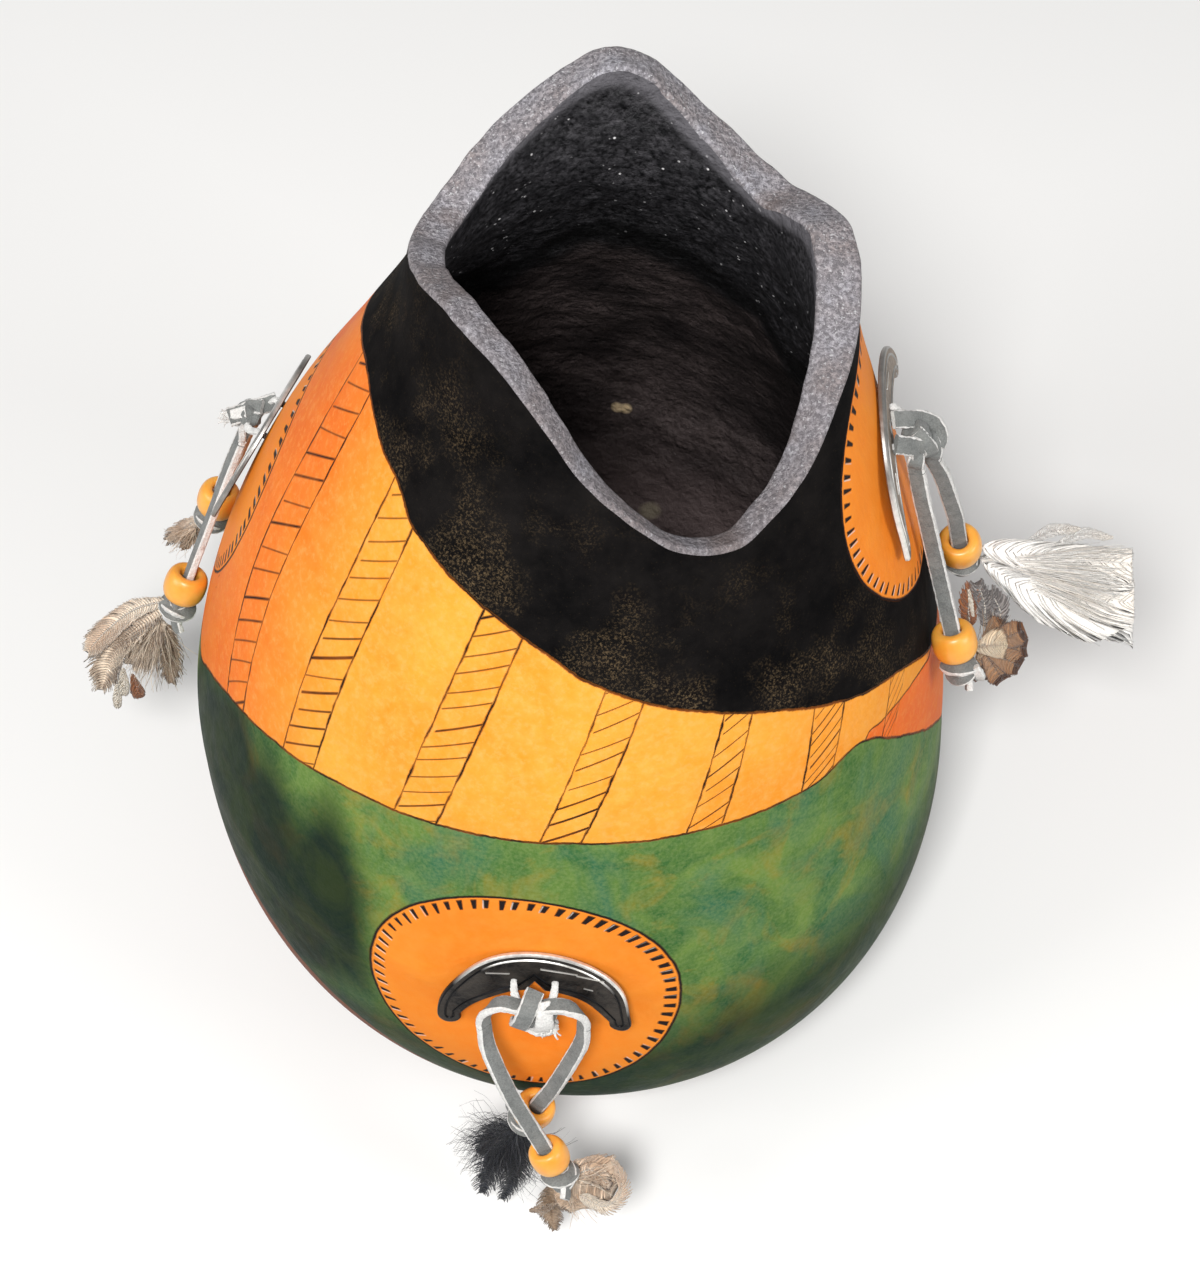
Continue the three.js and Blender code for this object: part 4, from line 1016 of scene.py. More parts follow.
def makeCrescents():
    plate = {
        "radius": 19.2, "innerRadius": 17, "innerDrop": 8.4, "horn": 2.4, "hornDrop": 0.3, "eyeHeight": 12.8,
        "notchWidth": 3.4, "notchDepth": 2.6, "low": 0.32, "field": 1.34, "shine": 1.52,
    }
    # degrees round the outer edge where its painted highlight runs, the same for the raised inner line, field's two
    # tones, how rough, and the least painted highlight anywhere on those edges
    faces = {
        "front": {"bright": (6, 150), "line": (30, 126), "dark": (0.006, 0.006, 0.007), "light": (0.060, 0.052, 0.045),
                  "rough": 0.34, "least": 0, "bends": [(143, 24, -0.055), (6, 20, -0.07)]},
        "right": {"bright": (118, 215), "line": (130, 190), "dark": (0.15, 0.12, 0.095), "light": (0.42, 0.35, 0.29),
                  "rough": 0.5, "least": 0.4, "bends": [(188, 12, 0.15), (80, 60, -0.03)]},
        "left": {"bright": (70, 130), "line": (20, 160), "dark": (0.03, 0.028, 0.026), "light": (0.17, 0.155, 0.14),
                 "rough": 0.42, "least": 0.35, "bends": []},
    }  # bends: at an angle, over so many degrees, outwards by a share of the radius
    highlightFinish = Finish("pewterPaintedHighlight")
    scratch = highlightFinish.ramp(highlightFinish.grain(1.6, 4, 0.6), 0.3, 0.7)
    bright = highlightFinish.mix(scratch, (0.66, 0.64, 0.60), (0.92, 0.90, 0.86))
    # painted reflection: the polished edges are near black, turning bright where the shine attribute places a painted
    # highlight
    highlightFinish.set(Base_Color=highlightFinish.mix(highlightFinish.attribute("shine"), (0.008, 0.008, 0.009), bright), Metallic=0.75)
    highlightFinish.set(Specular_IOR_Level=0.12)
    highlightFinish.set(Roughness=highlightFinish.ramp(scratch, 0, 1, 0.30, 0.42), Normal=highlightFinish.bump(scratch, 0.03, 0.5))

    def outline(margin):
        inner = plate["innerRadius"] + margin
        centre = -plate["eyeHeight"]
        hornX, hornY = plate["radius"] - plate["horn"], centre - plate["hornDrop"]
        innerY = centre - plate["innerDrop"]
        half = math.asin((plate["notchWidth"] / 2 + margin) / inner)
        meet = math.atan2(hornY + plate["horn"] * 0.2 - innerY, hornX - plate["horn"] * 0.8)
        points = []

        def arc(x, y, radius, start, end, steps):
            for k in range(steps + 1):
                a = start + (end - start) * k / steps
                points.append((x + radius * math.cos(a), y + radius * math.sin(a)))

        arc(0, centre, plate["radius"] - margin, 0, math.pi, 90)
        arc(-hornX, hornY, plate["horn"] - margin, math.pi, math.pi * 1.86, 16)
        arc(0, innerY, inner, math.pi - meet, math.pi / 2 + half, 34)
        points.append((0, innerY + inner + plate["notchDepth"] + margin * 0.4))
        arc(0, innerY, inner, math.pi / 2 - half, meet, 34)
        arc(hornX, hornY, plate["horn"] - margin, -math.pi * 0.86, 0, 16)
        return np.array(points)

    # margin in from the outline, height over the skin, and which highlighted edge, with its painted highlight, the band
    # that follows belongs to
    steps = [
        (0.25, plate["low"], ""), (0.0, 0.5, "bright"), (0.0, 1.0, "bright"), (0.14, 1.28, "bright"),
        (0.42, 1.42, ""), (1.0, plate["field"], ""), (1.32, plate["field"], "line"), (1.46, plate["shine"], "line"),
        (1.66, plate["shine"], "line"), (1.8, plate["field"], ""),
    ]
    for place in lashings:
        look = faces[place]
        pewter = Finish(f"pewterDark_{place}")
        cloud = pewter.ramp(pewter.grain(5, 4, 0.6, distort=0.6), 0.38, 0.66)
        pits = pewter.ramp(pewter.grain(0.6, 3, 0.6), 0.35, 0.7)
        streak = pewter.ramp(pewter.grain(1.1, 2, 0.5, stretch=(0.25, 1.6, 0.6)), 0.55, 0.72)
        dark = pewter.mix(cloud, look["dark"], look["light"])
        dark = pewter.mix(pewter.sum("MULTIPLY", streak, 0.35), dark, [c * 1.6 for c in look["light"]])
        dark = pewter.mix(pewter.sum("MULTIPLY", pits, 0.3), dark, look["light"])
        pewter.set(Base_Color=dark, Metallic=0.6, Specular_IOR_Level=0.12, Roughness=pewter.ramp(cloud, 0, 1, look["rough"], look["rough"] + 0.18))
        pewter.set(Normal=pewter.bump(pits, 0.06, 0.6))
        bm = bmesh.new()
        loops = []
        for margin, height, _ in steps:
            ring = outline(margin)
            centre = np.array((0, -plate["eyeHeight"]))
            angle = np.degrees(np.arctan2(*(ring - centre).T[::-1]))
            angle = np.where(angle < -90, angle + 360, angle)
            for at, width, share in look["bends"]:
                ring = centre + (ring - centre) * (1 + share * np.exp(-(((angle - at) / width) ** 2)))[:, None]
            loops.append([bm.verts.new((x, y, height)) for x, y in ring])
        n = len(loops[0])
        shine = {}
        for r, (_, _, band) in enumerate(steps[:-1]):
            for k in range(n):
                face = bm.faces.new((loops[r][k], loops[r][(k + 1) % n], loops[r + 1][(k + 1) % n], loops[r + 1][k]))
                face.material_index = int(bool(band))
            # painted highlight strength on the polished edges: full within the look's arc, fading over 22 degrees,
            # never under its least
            for row in (r, r + 1) if band else ():
                low, high = look[band]
                for k in range(n):
                    at = k * 2 if k <= 90 else (-10 if k > n // 2 else 190)
                    share = max(look["least"], min(1, max(0, (at - low) / 22), max(0, (high - at) / 22)))
                    shine[loops[row][k]] = max(share, shine.get(loops[row][k], 0))
        for loop, height, flip in ((loops[-1], steps[-1][1], False), (loops[0], steps[0][1], True)):
            edges = [bm.edges.get((loop[k], loop[(k + 1) % n])) for k in range(n)]
            for s in (-1, 1):
                eye = [
                    bm.verts.new((s * plateEye["across"] + plateEye["radius"] * math.cos(a),
                                  plateEye["up"] + plateEye["radius"] * math.sin(a), height))
                    for a in np.linspace(0, 2 * math.pi, 24, endpoint=False)
                ]
                edges += [bm.edges.new((eye[k], eye[(k + 1) % 24])) for k in range(24)]
            bmesh.ops.triangle_fill(bm, edges=edges, use_beauty=True)
        bm.verts.ensure_lookup_table()
        # walls of the eyes join the two fills
        for s in (-1, 1):
            middle = Vector((s * plateEye["across"], plateEye["up"]))
            rims = []
            for height in (steps[-1][1], steps[0][1]):
                ring = [v for v in bm.verts if abs(v.co.z - height) < 1e-5
                        and abs((v.co.xy - middle).length - plateEye["radius"]) < 1e-4]
                rims.append(sorted(ring, key=lambda v: math.atan2(v.co.y - middle.y, v.co.x - middle.x)))
            for k in range(24):
                bm.faces.new((rims[0][k], rims[0][(k + 1) % 24], rims[1][(k + 1) % 24], rims[1][k]))
        bmesh.ops.recalc_face_normals(bm, faces=bm.faces)
        mesh = bpy.data.meshes.new(f"crescent_plate_{place}")
        marks = {
            "front": [((1.2, 2.4), (8.2, 1.3)), ((7.9, 1.0), (13.2, -0.3)), ((9.2, -2.7), (11.0, -3.2)), ((-9.2, 0.4), (-4.6, 0.6))],
            "right": [((-12, -4.6), (-8.6, -2.4)), ((6.2, 1.2), (10.8, -1.6))],
            "left": [((5.2, 1.6), (10.2, -1.0))],
        }[place]
        # the bars take the full painted highlight of the polished edges
        for k, (a, b) in enumerate(marks):  # short bright bars, standing on the field
            a, b = np.array(a), np.array(b)
            way = unit(b - a)
            wide = np.array([-way[1], way[0]]) * (0.2 if k < 2 else 0.12)
            corners = [a - wide * 0.4, b - wide * 0.5, b + wide * 0.5, a + wide]
            low = [bm.verts.new((*c, plate["field"] - 0.02)) for c in corners]
            top = [bm.verts.new((*(c * 0.97 + (a + b) / 2 * 0.03), plate["shine"])) for c in corners]
            shine.update({v: 1.0 for v in low + top})
            sides = [bm.faces.new((low[k], low[(k + 1) % 4], top[(k + 1) % 4], top[k])) for k in range(4)]
            for face in [*sides, bm.faces.new(top), bm.faces.new(low[::-1])]:
                face.material_index = 1
        origin, axes = lashingFrame(place)
        for v in bm.verts:
            v.co = Vector((origin + np.array(v.co) @ axes) * 0.001)
        bm.verts.index_update()
        shares = [shine.get(v, 0.0) for v in bm.verts]
        bm.to_mesh(mesh)
        bm.free()
        mesh.attributes.new("shine", "FLOAT", "POINT").data.foreach_set("value", shares)
        for material in (pewter.material, highlightFinish.material):
            mesh.materials.append(material)
        mesh.polygons.foreach_set("use_smooth", [True] * len(mesh.polygons))
        mesh.set_sharp_from_angle(angle=math.radians(24))
        piece = bpy.data.objects.new(f"crescent_plate_{place}", mesh)
        scene.collection.objects.link(piece)
        settle(piece, "gourd", "pewter", f"crescent_{place}")
    print("crescents made")


# ---- the painted gourd ----

paint = {
    # edges of the painted zones: (bearing, height)
    "black": [
        (-180, 160.2), (-168, 161), (-155, 159.6), (-146, 158.4), (-138, 155.4), (-129, 153.5), (-115, 150.3),
        (-102, 146.2), (-93, 142.2), (-82, 138), (-70, 133.5), (-58.5, 128.8), (-44, 120.8), (-34, 114.2),
        (-24, 107.4), (-9, 92), (12, 82), (36, 84), (64, 98), (96, 120), (126, 138), (153, 150.3),
    ],
    "green": [
        (-177, 76.8), (-168, 86), (-159, 93.8), (-149, 99.4), (-139, 103.4), (-129, 106.8), (-119, 108.5),
        (-106, 110), (-90, 110.7), (-80, 110.2), (-70, 109.4), (-60, 107.9), (-48, 105.9), (-38, 105.2), (-28, 93),
        (-15.5, 75), (-3.5, 59.5), (20, 48), (50, 48), (80, 57), (110, 66), (150, 72),
    ],
    "under": [
        (-155, 50), (-144, 47.5), (-136.5, 43), (-127, 37.6), (-118, 31.5), (-111, 26.4), (-95, 17), (-62, 8),
        (-20, 5), (20, 7), (60, 12), (100, 20), (140, 31), (180, 42),
    ],
    # inside: the lower edge of the painted neck
    "ledge": [(-170, 136), (-90, 118), (0, 112), (42, 118), (50, 131), (60, 137), (72, 143), (89, 146), (101, 140), (110, 130), (125, 138)],
    # the burned line that bounds the red patch at the right
    "patch": [
        (-60, 0), (-40, 40), (-38, 96), (-36.7, 104.6), (-32.6, 103.9), (-27.8, 102.2), (-22.1, 99.6),
        (-17.5, 96.8), (-11.7, 93.2), (-6, 100), (8, 160), (60, 200), (150, 200), (160, 200),
    ],
    "medallions": [(-96.9, 66.7, 30.6), (3.1, 138.1, 31), (155.4, 107.1, 30.2)],  # bearing, height, radius
    "stitches": 66,
    # ladders: left line top and bottom, right line top and bottom, rungs, how far a rung rises
    "ladders": [
        ((-183.1, 159), (-160.7, 93.9), (-169.3, 160.5), (-155.4, 99.4), 14, 8),
        ((-147.8, 157.2), (-143.3, 102.6), (-137.7, 155), (-136.4, 107.1), 13, 6.2),
        ((-115.6, 150.8), (-120.1, 110), (-106.4, 147.7), (-113.1, 109), 11, 4.6),
        ((-88.1, 140.8), (-96, 110.7), (-80.8, 137.9), (-89.7, 110.9), 8, 3.4),
        ((-65.4, 131.3), (-72, 111.4), (-60.1, 129), (-66.3, 110.3), 6, 2.7),
        ((-47.2, 122), (-50.8, 109.7), (-40.2, 118.3), (-44.7, 107.3), 5, 3),
        ((-27.6, 109.6), (-30.2, 104.7), (-22.4, 106.8), (-25.8, 102.6), 2, 2.4),
        ((46, 90), (38, 50), (54, 95), (46, 50), 9, 3),
        ((72, 104), (64, 54), (81, 110), (73, 56), 12, 3),
        ((99, 120), (91, 62), (108, 126), (100, 64), 14, 4),
        ((122, 134), (114, 68), (131, 138), (123, 70), 15, 4),
    ],
}


def paintedSkin():
    skin = Finish("gourdSkin")
    wobble = skin.sum("MULTIPLY", skin.sum("SUBTRACT", skin.grain(5, 2), 0.5), 0.9)
    fine = skin.sum("MULTIPLY", skin.sum("SUBTRACT", skin.grain(0.8, 2), 0.5), 0.35)
    drift = skin.sum("ADD", wobble, fine)

    def edge(name, sway=1.0):
        return skin.sum("ADD", skin.attribute(name), skin.sum("MULTIPLY", drift, sway))

    def line(distance, half, soft=0.14):  # 1 on the line, 0 away from it
        away = skin.sum("SUBTRACT", skin.sum("ABSOLUTE", distance), half)
        return skin.ramp(away, -soft, soft, 1, 0)

    def zone(distance, soft=0.16):
        return skin.ramp(distance, -soft, soft)

    black, green, under = edge("blackEdge"), edge("greenEdge"), edge("underEdge")
    patch, disc = edge("patchEdge", 0.7), edge("discEdge", 0.5)
    warm = skin.attribute("warmth")
    darkGreenAndShade = skin.attribute("darkGreenAndShade")

    # dyed orange, cloudy and finely mottled, redder towards the back
    cloud = skin.ramp(skin.grain(28, 4, 0.6, distort=0.6), 0.32, 0.68)
    mottle = skin.ramp(skin.grain(3.0, 4, 0.65), 0.3, 0.72)
    speck = skin.ramp(skin.grain(0.7, 2, 0.6), 0.35, 0.7)
    orange = skin.mix(cloud, (0.93, 0.285, 0.022), (0.97, 0.395, 0.045))
    orange = skin.mix(skin.sum("MULTIPLY", mottle, 0.42), orange, (0.98, 0.50, 0.12))
    red = skin.mix(cloud, (0.86, 0.130, 0.016), (0.94, 0.190, 0.026))
    red = skin.mix(skin.sum("MULTIPLY", mottle, 0.3), red, (0.95, 0.29, 0.07))
    redShare = skin.sum("MAXIMUM", zone(patch), warm)
    base = skin.mix(redShare, orange, red)
    base = skin.mix(skin.sum("MULTIPLY", speck, 0.15), base, (0.78, 0.24, 0.02))
    fleck = skin.ramp(skin.grain(1.5, 4, 0.7), 0.5, 0.72)
    base = skin.mix(skin.sum("MULTIPLY", fleck, 0.34), base, (0.96, 0.46, 0.15))

    # green: olive, leaf, teal and ochre clouds; darker towards the left foot, partly darker paint and partly painted
    # shade, and painted shade towards the bottom
    tone = skin.grain(19, 5, 0.62, distort=1.2)
    teal = skin.ramp(skin.grain(24, 4, 0.6, stretch=(1.3, 1, 0.7), distort=0.8), 0.47, 0.66)
    ochre = skin.ramp(skin.grain(15, 4, 0.65, distort=0.7), 0.52, 0.72)
    leaf = skin.mix(skin.ramp(tone, 0.36, 0.64), (0.040, 0.128, 0.032), (0.150, 0.245, 0.052))
    leaf = skin.mix(skin.sum("MULTIPLY", ochre, 0.85), leaf, (0.33, 0.235, 0.032))
    leaf = skin.mix(skin.sum("MULTIPLY", teal, 0.6), leaf, (0.034, 0.150, 0.105))
    leaf = skin.mix(skin.sum("MULTIPLY", speck, 0.28), leaf, (0.30, 0.38, 0.15))
    # painted shade: the green turns near black at the left foot and low down
    leaf = skin.mix(darkGreenAndShade, leaf, skin.mix(skin.ramp(tone, 0.4, 0.6), (0.004, 0.010, 0.010), (0.012, 0.021, 0.009)))
    base = skin.mix(skin.ramp(green, -0.16, 0.16, 1, 0), base, leaf)
    clay = skin.mix(mottle, (0.13, 0.035, 0.016), (0.25, 0.085, 0.04))
    base = skin.mix(skin.ramp(under, -0.5, 0.5, 1, 0), base, clay)

    # black band, with gold dust in patches near its lower edge
    near = skin.ramp(black, 1, 34, 1, 0, True)
    patches = skin.ramp(skin.grain(15, 3, 0.6), 0.46, 0.66)
    dust = skin.ramp(skin.grain(0.5, 4, 0.75), 0.50, 0.68)
    gold = skin.sum("MULTIPLY", skin.sum("MULTIPLY", near, patches), dust)
    faint = skin.sum("MULTIPLY", skin.ramp(skin.grain(0.45, 4, 0.7), 0.62, 0.74), 0.10)
    soot = skin.mix(skin.ramp(skin.grain(12, 4, 0.7), 0.35, 0.7), (0.0030, 0.0028, 0.0030), (0.0110, 0.0095, 0.0090))
    soot = skin.mix(skin.sum("MULTIPLY", skin.sum("MULTIPLY", near, patches), dust), soot, (0.050, 0.036, 0.026))
    soot = skin.mix(skin.sum("MAXIMUM", skin.sum("MULTIPLY", gold, 0.55), faint), soot, (0.24, 0.165, 0.08))
    blackMask = zone(black, 0.22)
    base = skin.mix(blackMask, base, soot)

    # medallions: plain orange discs
    inDisc = skin.ramp(disc, -0.15, 0.15, 1, 0)
    plain = skin.mix(cloud, (0.93, 0.225, 0.017), (0.96, 0.295, 0.030))
    plain = skin.mix(skin.sum("MULTIPLY", mottle, 0.28), plain, (0.97, 0.38, 0.08))
    base = skin.mix(inDisc, base, plain)

    # burned lines: zone edges, ladders with rungs, the discs' outlines and stitches
    heavy = skin.ramp(skin.grain(7, 2), 0.42, 0.62)
    half = skin.ramp(heavy, 0, 1, 0.09, 0.23)
    phase, rung, _ = skin.parts(skin.attribute("ladder", "Vector"))
    phaseScale, rungScale, ladderOn = skin.parts(skin.attribute("ladderScale", "Vector"))
    whole = skin.sum("ROUND", phase)
    offset = skin.sum("SUBTRACT", phase, whole)
    away = skin.sum("MULTIPLY", skin.sum("SUBTRACT", skin.sum("ABSOLUTE", offset), 0.2), phaseScale)
    away = skin.sum("ADD", away, skin.sum("MULTIPLY", drift, 0.5))
    rails = line(away, half)
    chance = skin.node("ShaderNodeTexWhiteNoise", noise_dimensions="2D")
    cell = skin.node("ShaderNodeCombineXYZ")
    skin.put(cell.inputs[0], whole)
    skin.put(cell.inputs[1], skin.sum("FLOOR", rung))
    skin.put(chance.inputs["Vector"], cell.outputs[0])
    shift, weight, short = skin.parts(chance.outputs["Color"])
    centre = skin.ramp(shift, 0, 1, 0.36, 0.64)
    tilt = skin.sum("MULTIPLY", skin.sum("SUBTRACT", weight, 0.5), skin.sum("MULTIPLY", offset, 0.7))
    step = skin.sum("SUBTRACT", skin.sum("ADD", skin.sum("FRACT", rung), tilt), centre)
    stroke = line(skin.sum("MULTIPLY", step, rungScale), skin.ramp(skin.sum("POWER", weight, 3.0), 0, 1, 0.08, 0.27))
    startAt = skin.ramp(short, 0.5, 1.0, -0.21, -0.15)
    inside = skin.sum("MULTIPLY", skin.ramp(offset, startAt, skin.sum("ADD", startAt, 0.012)),
                      skin.ramp(offset, 0.19, 0.205, 1, 0))
    rungs = skin.sum("MULTIPLY", stroke, inside)
    ladders = skin.sum("MULTIPLY", skin.sum("MAXIMUM", rails, rungs), ladderOn)
    open_ = skin.sum("MULTIPLY", zone(green), skin.sum("SUBTRACT", 1.0, blackMask))
    open_ = skin.sum("MULTIPLY", open_, skin.ramp(disc, 0, 0.3))
    ladders = skin.sum("MULTIPLY", ladders, open_)

    outside = skin.ramp(disc, 0, 0.3)
    edges = skin.sum("MULTIPLY", line(green, 0.22), outside)
    rim = skin.sum("MULTIPLY", line(skin.sum("ADD", black, 0.1), 0.22), outside)
    patchLine = skin.sum("MULTIPLY", skin.sum("MULTIPLY", line(patch, 0.16), outside), open_)
    border = line(disc, 0.26)
    x, y, _ = skin.parts(skin.attribute("discPlace", "Vector"))
    angle = skin.sum("ARCTAN2", y, x)
    turn = skin.sum("MULTIPLY", angle, paint["stitches"] / (2 * math.pi))
    radius = skin.sum("SQRT", skin.sum("ADD", skin.sum("MULTIPLY", x, x), skin.sum("MULTIPLY", y, y)))
    stitchNo = skin.sum("ROUND", turn)
    lot = skin.node("ShaderNodeTexWhiteNoise", noise_dimensions="1D")
    skin.put(lot.inputs["W"], stitchNo)
    sway, long, _ = skin.parts(lot.outputs["Color"])
    off = skin.sum("SUBTRACT", skin.sum("SUBTRACT", turn, stitchNo), skin.ramp(sway, 0, 1, -0.08, 0.08))
    width = skin.sum("MULTIPLY", off, skin.sum("MULTIPLY", radius, 2 * math.pi / paint["stitches"]))
    width = skin.sum("ADD", width, skin.sum("MULTIPLY", skin.sum("ADD", disc, 2), 0.22))
    deep = skin.ramp(long, 0, 1, -3.6, -2.9)
    span = skin.sum("MULTIPLY", skin.ramp(disc, deep, skin.sum("ADD", deep, 0.4)), skin.ramp(disc, -0.95, -0.6, 1, 0))
    bold = skin.ramp(skin.sum("COSINE", skin.sum("SUBTRACT", angle, 0.7)), -0.3, 0.9, 0.2, 0.46)
    wedge = skin.sum("MULTIPLY", skin.sum("ADD", disc, 3.2), 0.12)
    stitch = skin.sum("MULTIPLY", line(width, skin.sum("ADD", bold, wedge), 0.12), span)
    # glint: a pale stripe beside each stitch, partly the pale cut flesh in the groove and partly a painted highlight
    # where light catches it
    glint = skin.sum("MULTIPLY", line(skin.sum("SUBTRACT", width, 0.55), 0.13, 0.1), span)
    glint = skin.sum("MULTIPLY", glint, skin.ramp(skin.sum("SUBTRACT", sway, bold), 0.05, 0.25))

    burnt = skin.sum("MAXIMUM", skin.sum("MAXIMUM", ladders, edges), skin.sum("MAXIMUM", border, stitch))
    burnt = skin.sum("MAXIMUM", burnt, skin.sum("MAXIMUM", rim, patchLine))
    char = skin.mix(heavy, (0.20, 0.055, 0.012), (0.022, 0.010, 0.008))
    char = skin.mix(skin.sum("MAXIMUM", stitch, border), char, (0.018, 0.012, 0.012))
    base = skin.mix(burnt, base, char)
    base = skin.mix(skin.sum("MULTIPLY", glint, 0.75), base, (0.80, 0.72, 0.66))

    matt = skin.ramp(mottle, 0, 1, 0.40, 0.52)
    rough = skin.sum("MAXIMUM", matt, skin.sum("MULTIPLY", skin.sum("SUBTRACT", blackMask, inDisc), 0.82))
    skin.set(Base_Color=base, Roughness=rough, IOR=1.3, Specular_IOR_Level=0.07)
    relief = skin.bump(skin.sum("SUBTRACT", 1.0, burnt), 0.28, 0.9)
    relief = skin.bump(speck, 0.035, 0.5, relief)
    relief = skin.bump(cloud, 0.9, 0.25, relief)
    skin.set(Normal=relief)
    return skin.material


def cutRim():
    rim = Finish("gourdCutRim")
    speck = rim.ramp(rim.grain(0.8, 3, 0.7), 0.38, 0.62)
    cloud = rim.ramp(rim.grain(9, 3), 0.35, 0.68)
    grey = rim.mix(cloud, (0.34, 0.29, 0.285), (0.42, 0.405, 0.44))
    grey = rim.mix(rim.sum("MULTIPLY", speck, 0.85), grey, (0.10, 0.092, 0.10))
    # painted sparkle: bright specks of painted highlight on the cut face
    paintedSparkle = rim.ramp(rim.grain(0.6, 2, 0.6), 0.62, 0.68)
    grey = rim.mix(rim.sum("MULTIPLY", paintedSparkle, 0.7), grey, (0.70, 0.69, 0.70))
    worn = rim.ramp(rim.grain(16, 3), 0.56, 0.7, 0, 0.6)
    grey = rim.mix(worn, grey, (0.16, 0.115, 0.10))
    paintedSparkle = rim.ramp(rim.grain(0.35, 1), 0.66, 0.72)
    grey = rim.mix(rim.sum("MULTIPLY", paintedSparkle, 0.5), grey, (0.62, 0.60, 0.60))
    _, depth, _ = rim.parts(rim.place)
    grey = rim.mix(rim.ramp(depth, 0.045, -0.03, 0, 0.4), grey, (0.105, 0.085, 0.085))
    rim.set(Base_Color=grey, Roughness=0.62, Normal=rim.bump(speck, 0.22, 0.9))
    return rim.material


def blackInside():
    inner = Finish("gourdInside")
    pits = inner.ramp(inner.grain(0.9, 2, 0.6), 0.3, 0.7)
    knobs = inner.ramp(inner.sum("ADD", inner.grain(1.0, 3, 0.75), inner.sum("MULTIPLY", inner.cells(1.2), -0.22)), 0.22, 0.62)
    lumps = inner.ramp(inner.grain(4.2, 2, 0.5), 0.36, 0.64)
    broad = inner.ramp(inner.grain(22, 3, 0.5), 0.38, 0.62)
    ledge = inner.sum("ADD", inner.attribute("ledge"), inner.sum("MULTIPLY", inner.sum("SUBTRACT", broad, 0.5), 6.0))
    soot = inner.mix(knobs, (0.002, 0.002, 0.0025), (0.070, 0.066, 0.072))
    soot = inner.mix(inner.sum("MULTIPLY", lumps, 0.55), soot, (0.005, 0.005, 0.006))
    liningAndLight = inner.mix(pits, (0.045, 0.034, 0.032), (0.095, 0.072, 0.070))
    liningAndLight = inner.mix(broad, liningAndLight, (0.016, 0.012, 0.012))
    # lighter towards the bottom of the inside: partly the paler lining, partly painted light where the lamp reaches the
    # floor inside
    liningAndLight = inner.mix(inner.ramp(inner.attribute("height"), 52, 34), liningAndLight, (0.17, 0.125, 0.12))
    low = inner.ramp(ledge, -6, -16, 0, 1, True)  # the dry lining below the painted neck
    # painted shadow: a near-black band just under the ledge of the painted neck
    shade = inner.sum("MULTIPLY", inner.ramp(ledge, 4, -1), inner.ramp(ledge, -5, -16, 1, 0))
    base = inner.mix(low, soot, liningAndLight)
    base = inner.mix(inner.sum("MULTIPLY", shade, 0.85), base, (0.002, 0.002, 0.002))
    # painted glints on the knobs, and grey from the cut rim fading into the dark
    glints = inner.ramp(inner.cells(1.9), 0.11, 0.17, 1, 0)
    glints = inner.sum("MULTIPLY", glints, inner.ramp(inner.grain(4, 2), 0.52, 0.58))
    glints = inner.sum("MULTIPLY", glints, inner.ramp(ledge, -6, 6))
    base = inner.mix(glints, base, (0.70, 0.68, 0.68))
    fade = inner.sum("ADD", inner.attribute("rimDrop"), inner.sum("MULTIPLY", inner.sum("SUBTRACT", knobs, 0.5), 1.0))
    base = inner.mix(inner.ramp(fade, 0.4, 3.0, 0.7, 0, True), base, (0.16, 0.152, 0.165))
    for spots, size, tone in ((((9.6, 74.6, 60.6), (7.8, 74.9, 60.6)), 1.0, (0.80, 0.60, 0.36)),
                              (((14.6, 65.2, 34.0), (15.6, 65.0, 34.6)), 1.5, (0.36, 0.30, 0.22))):
        for spot in spots:  # crumbs on the lining
            off = inner.node("ShaderNodeVectorMath", operation="DISTANCE")
            inner.put(off.inputs[0], inner.place)
            off.inputs[1].default_value = [c * 0.001 for c in spot]
            near = inner.ramp(off.outputs["Value"], size * 0.0016, size * 0.0007)
            base = inner.mix(near, base, tone)
    inner.set(Base_Color=base, Roughness=inner.ramp(pits, 0, 1, 0.45, 0.7), Specular_IOR_Level=0.3)
    relief = inner.bump(lumps, 1.0, 0.5)
    inner.set(Normal=inner.bump(knobs, 0.3, 0.8, relief))
    return inner.material


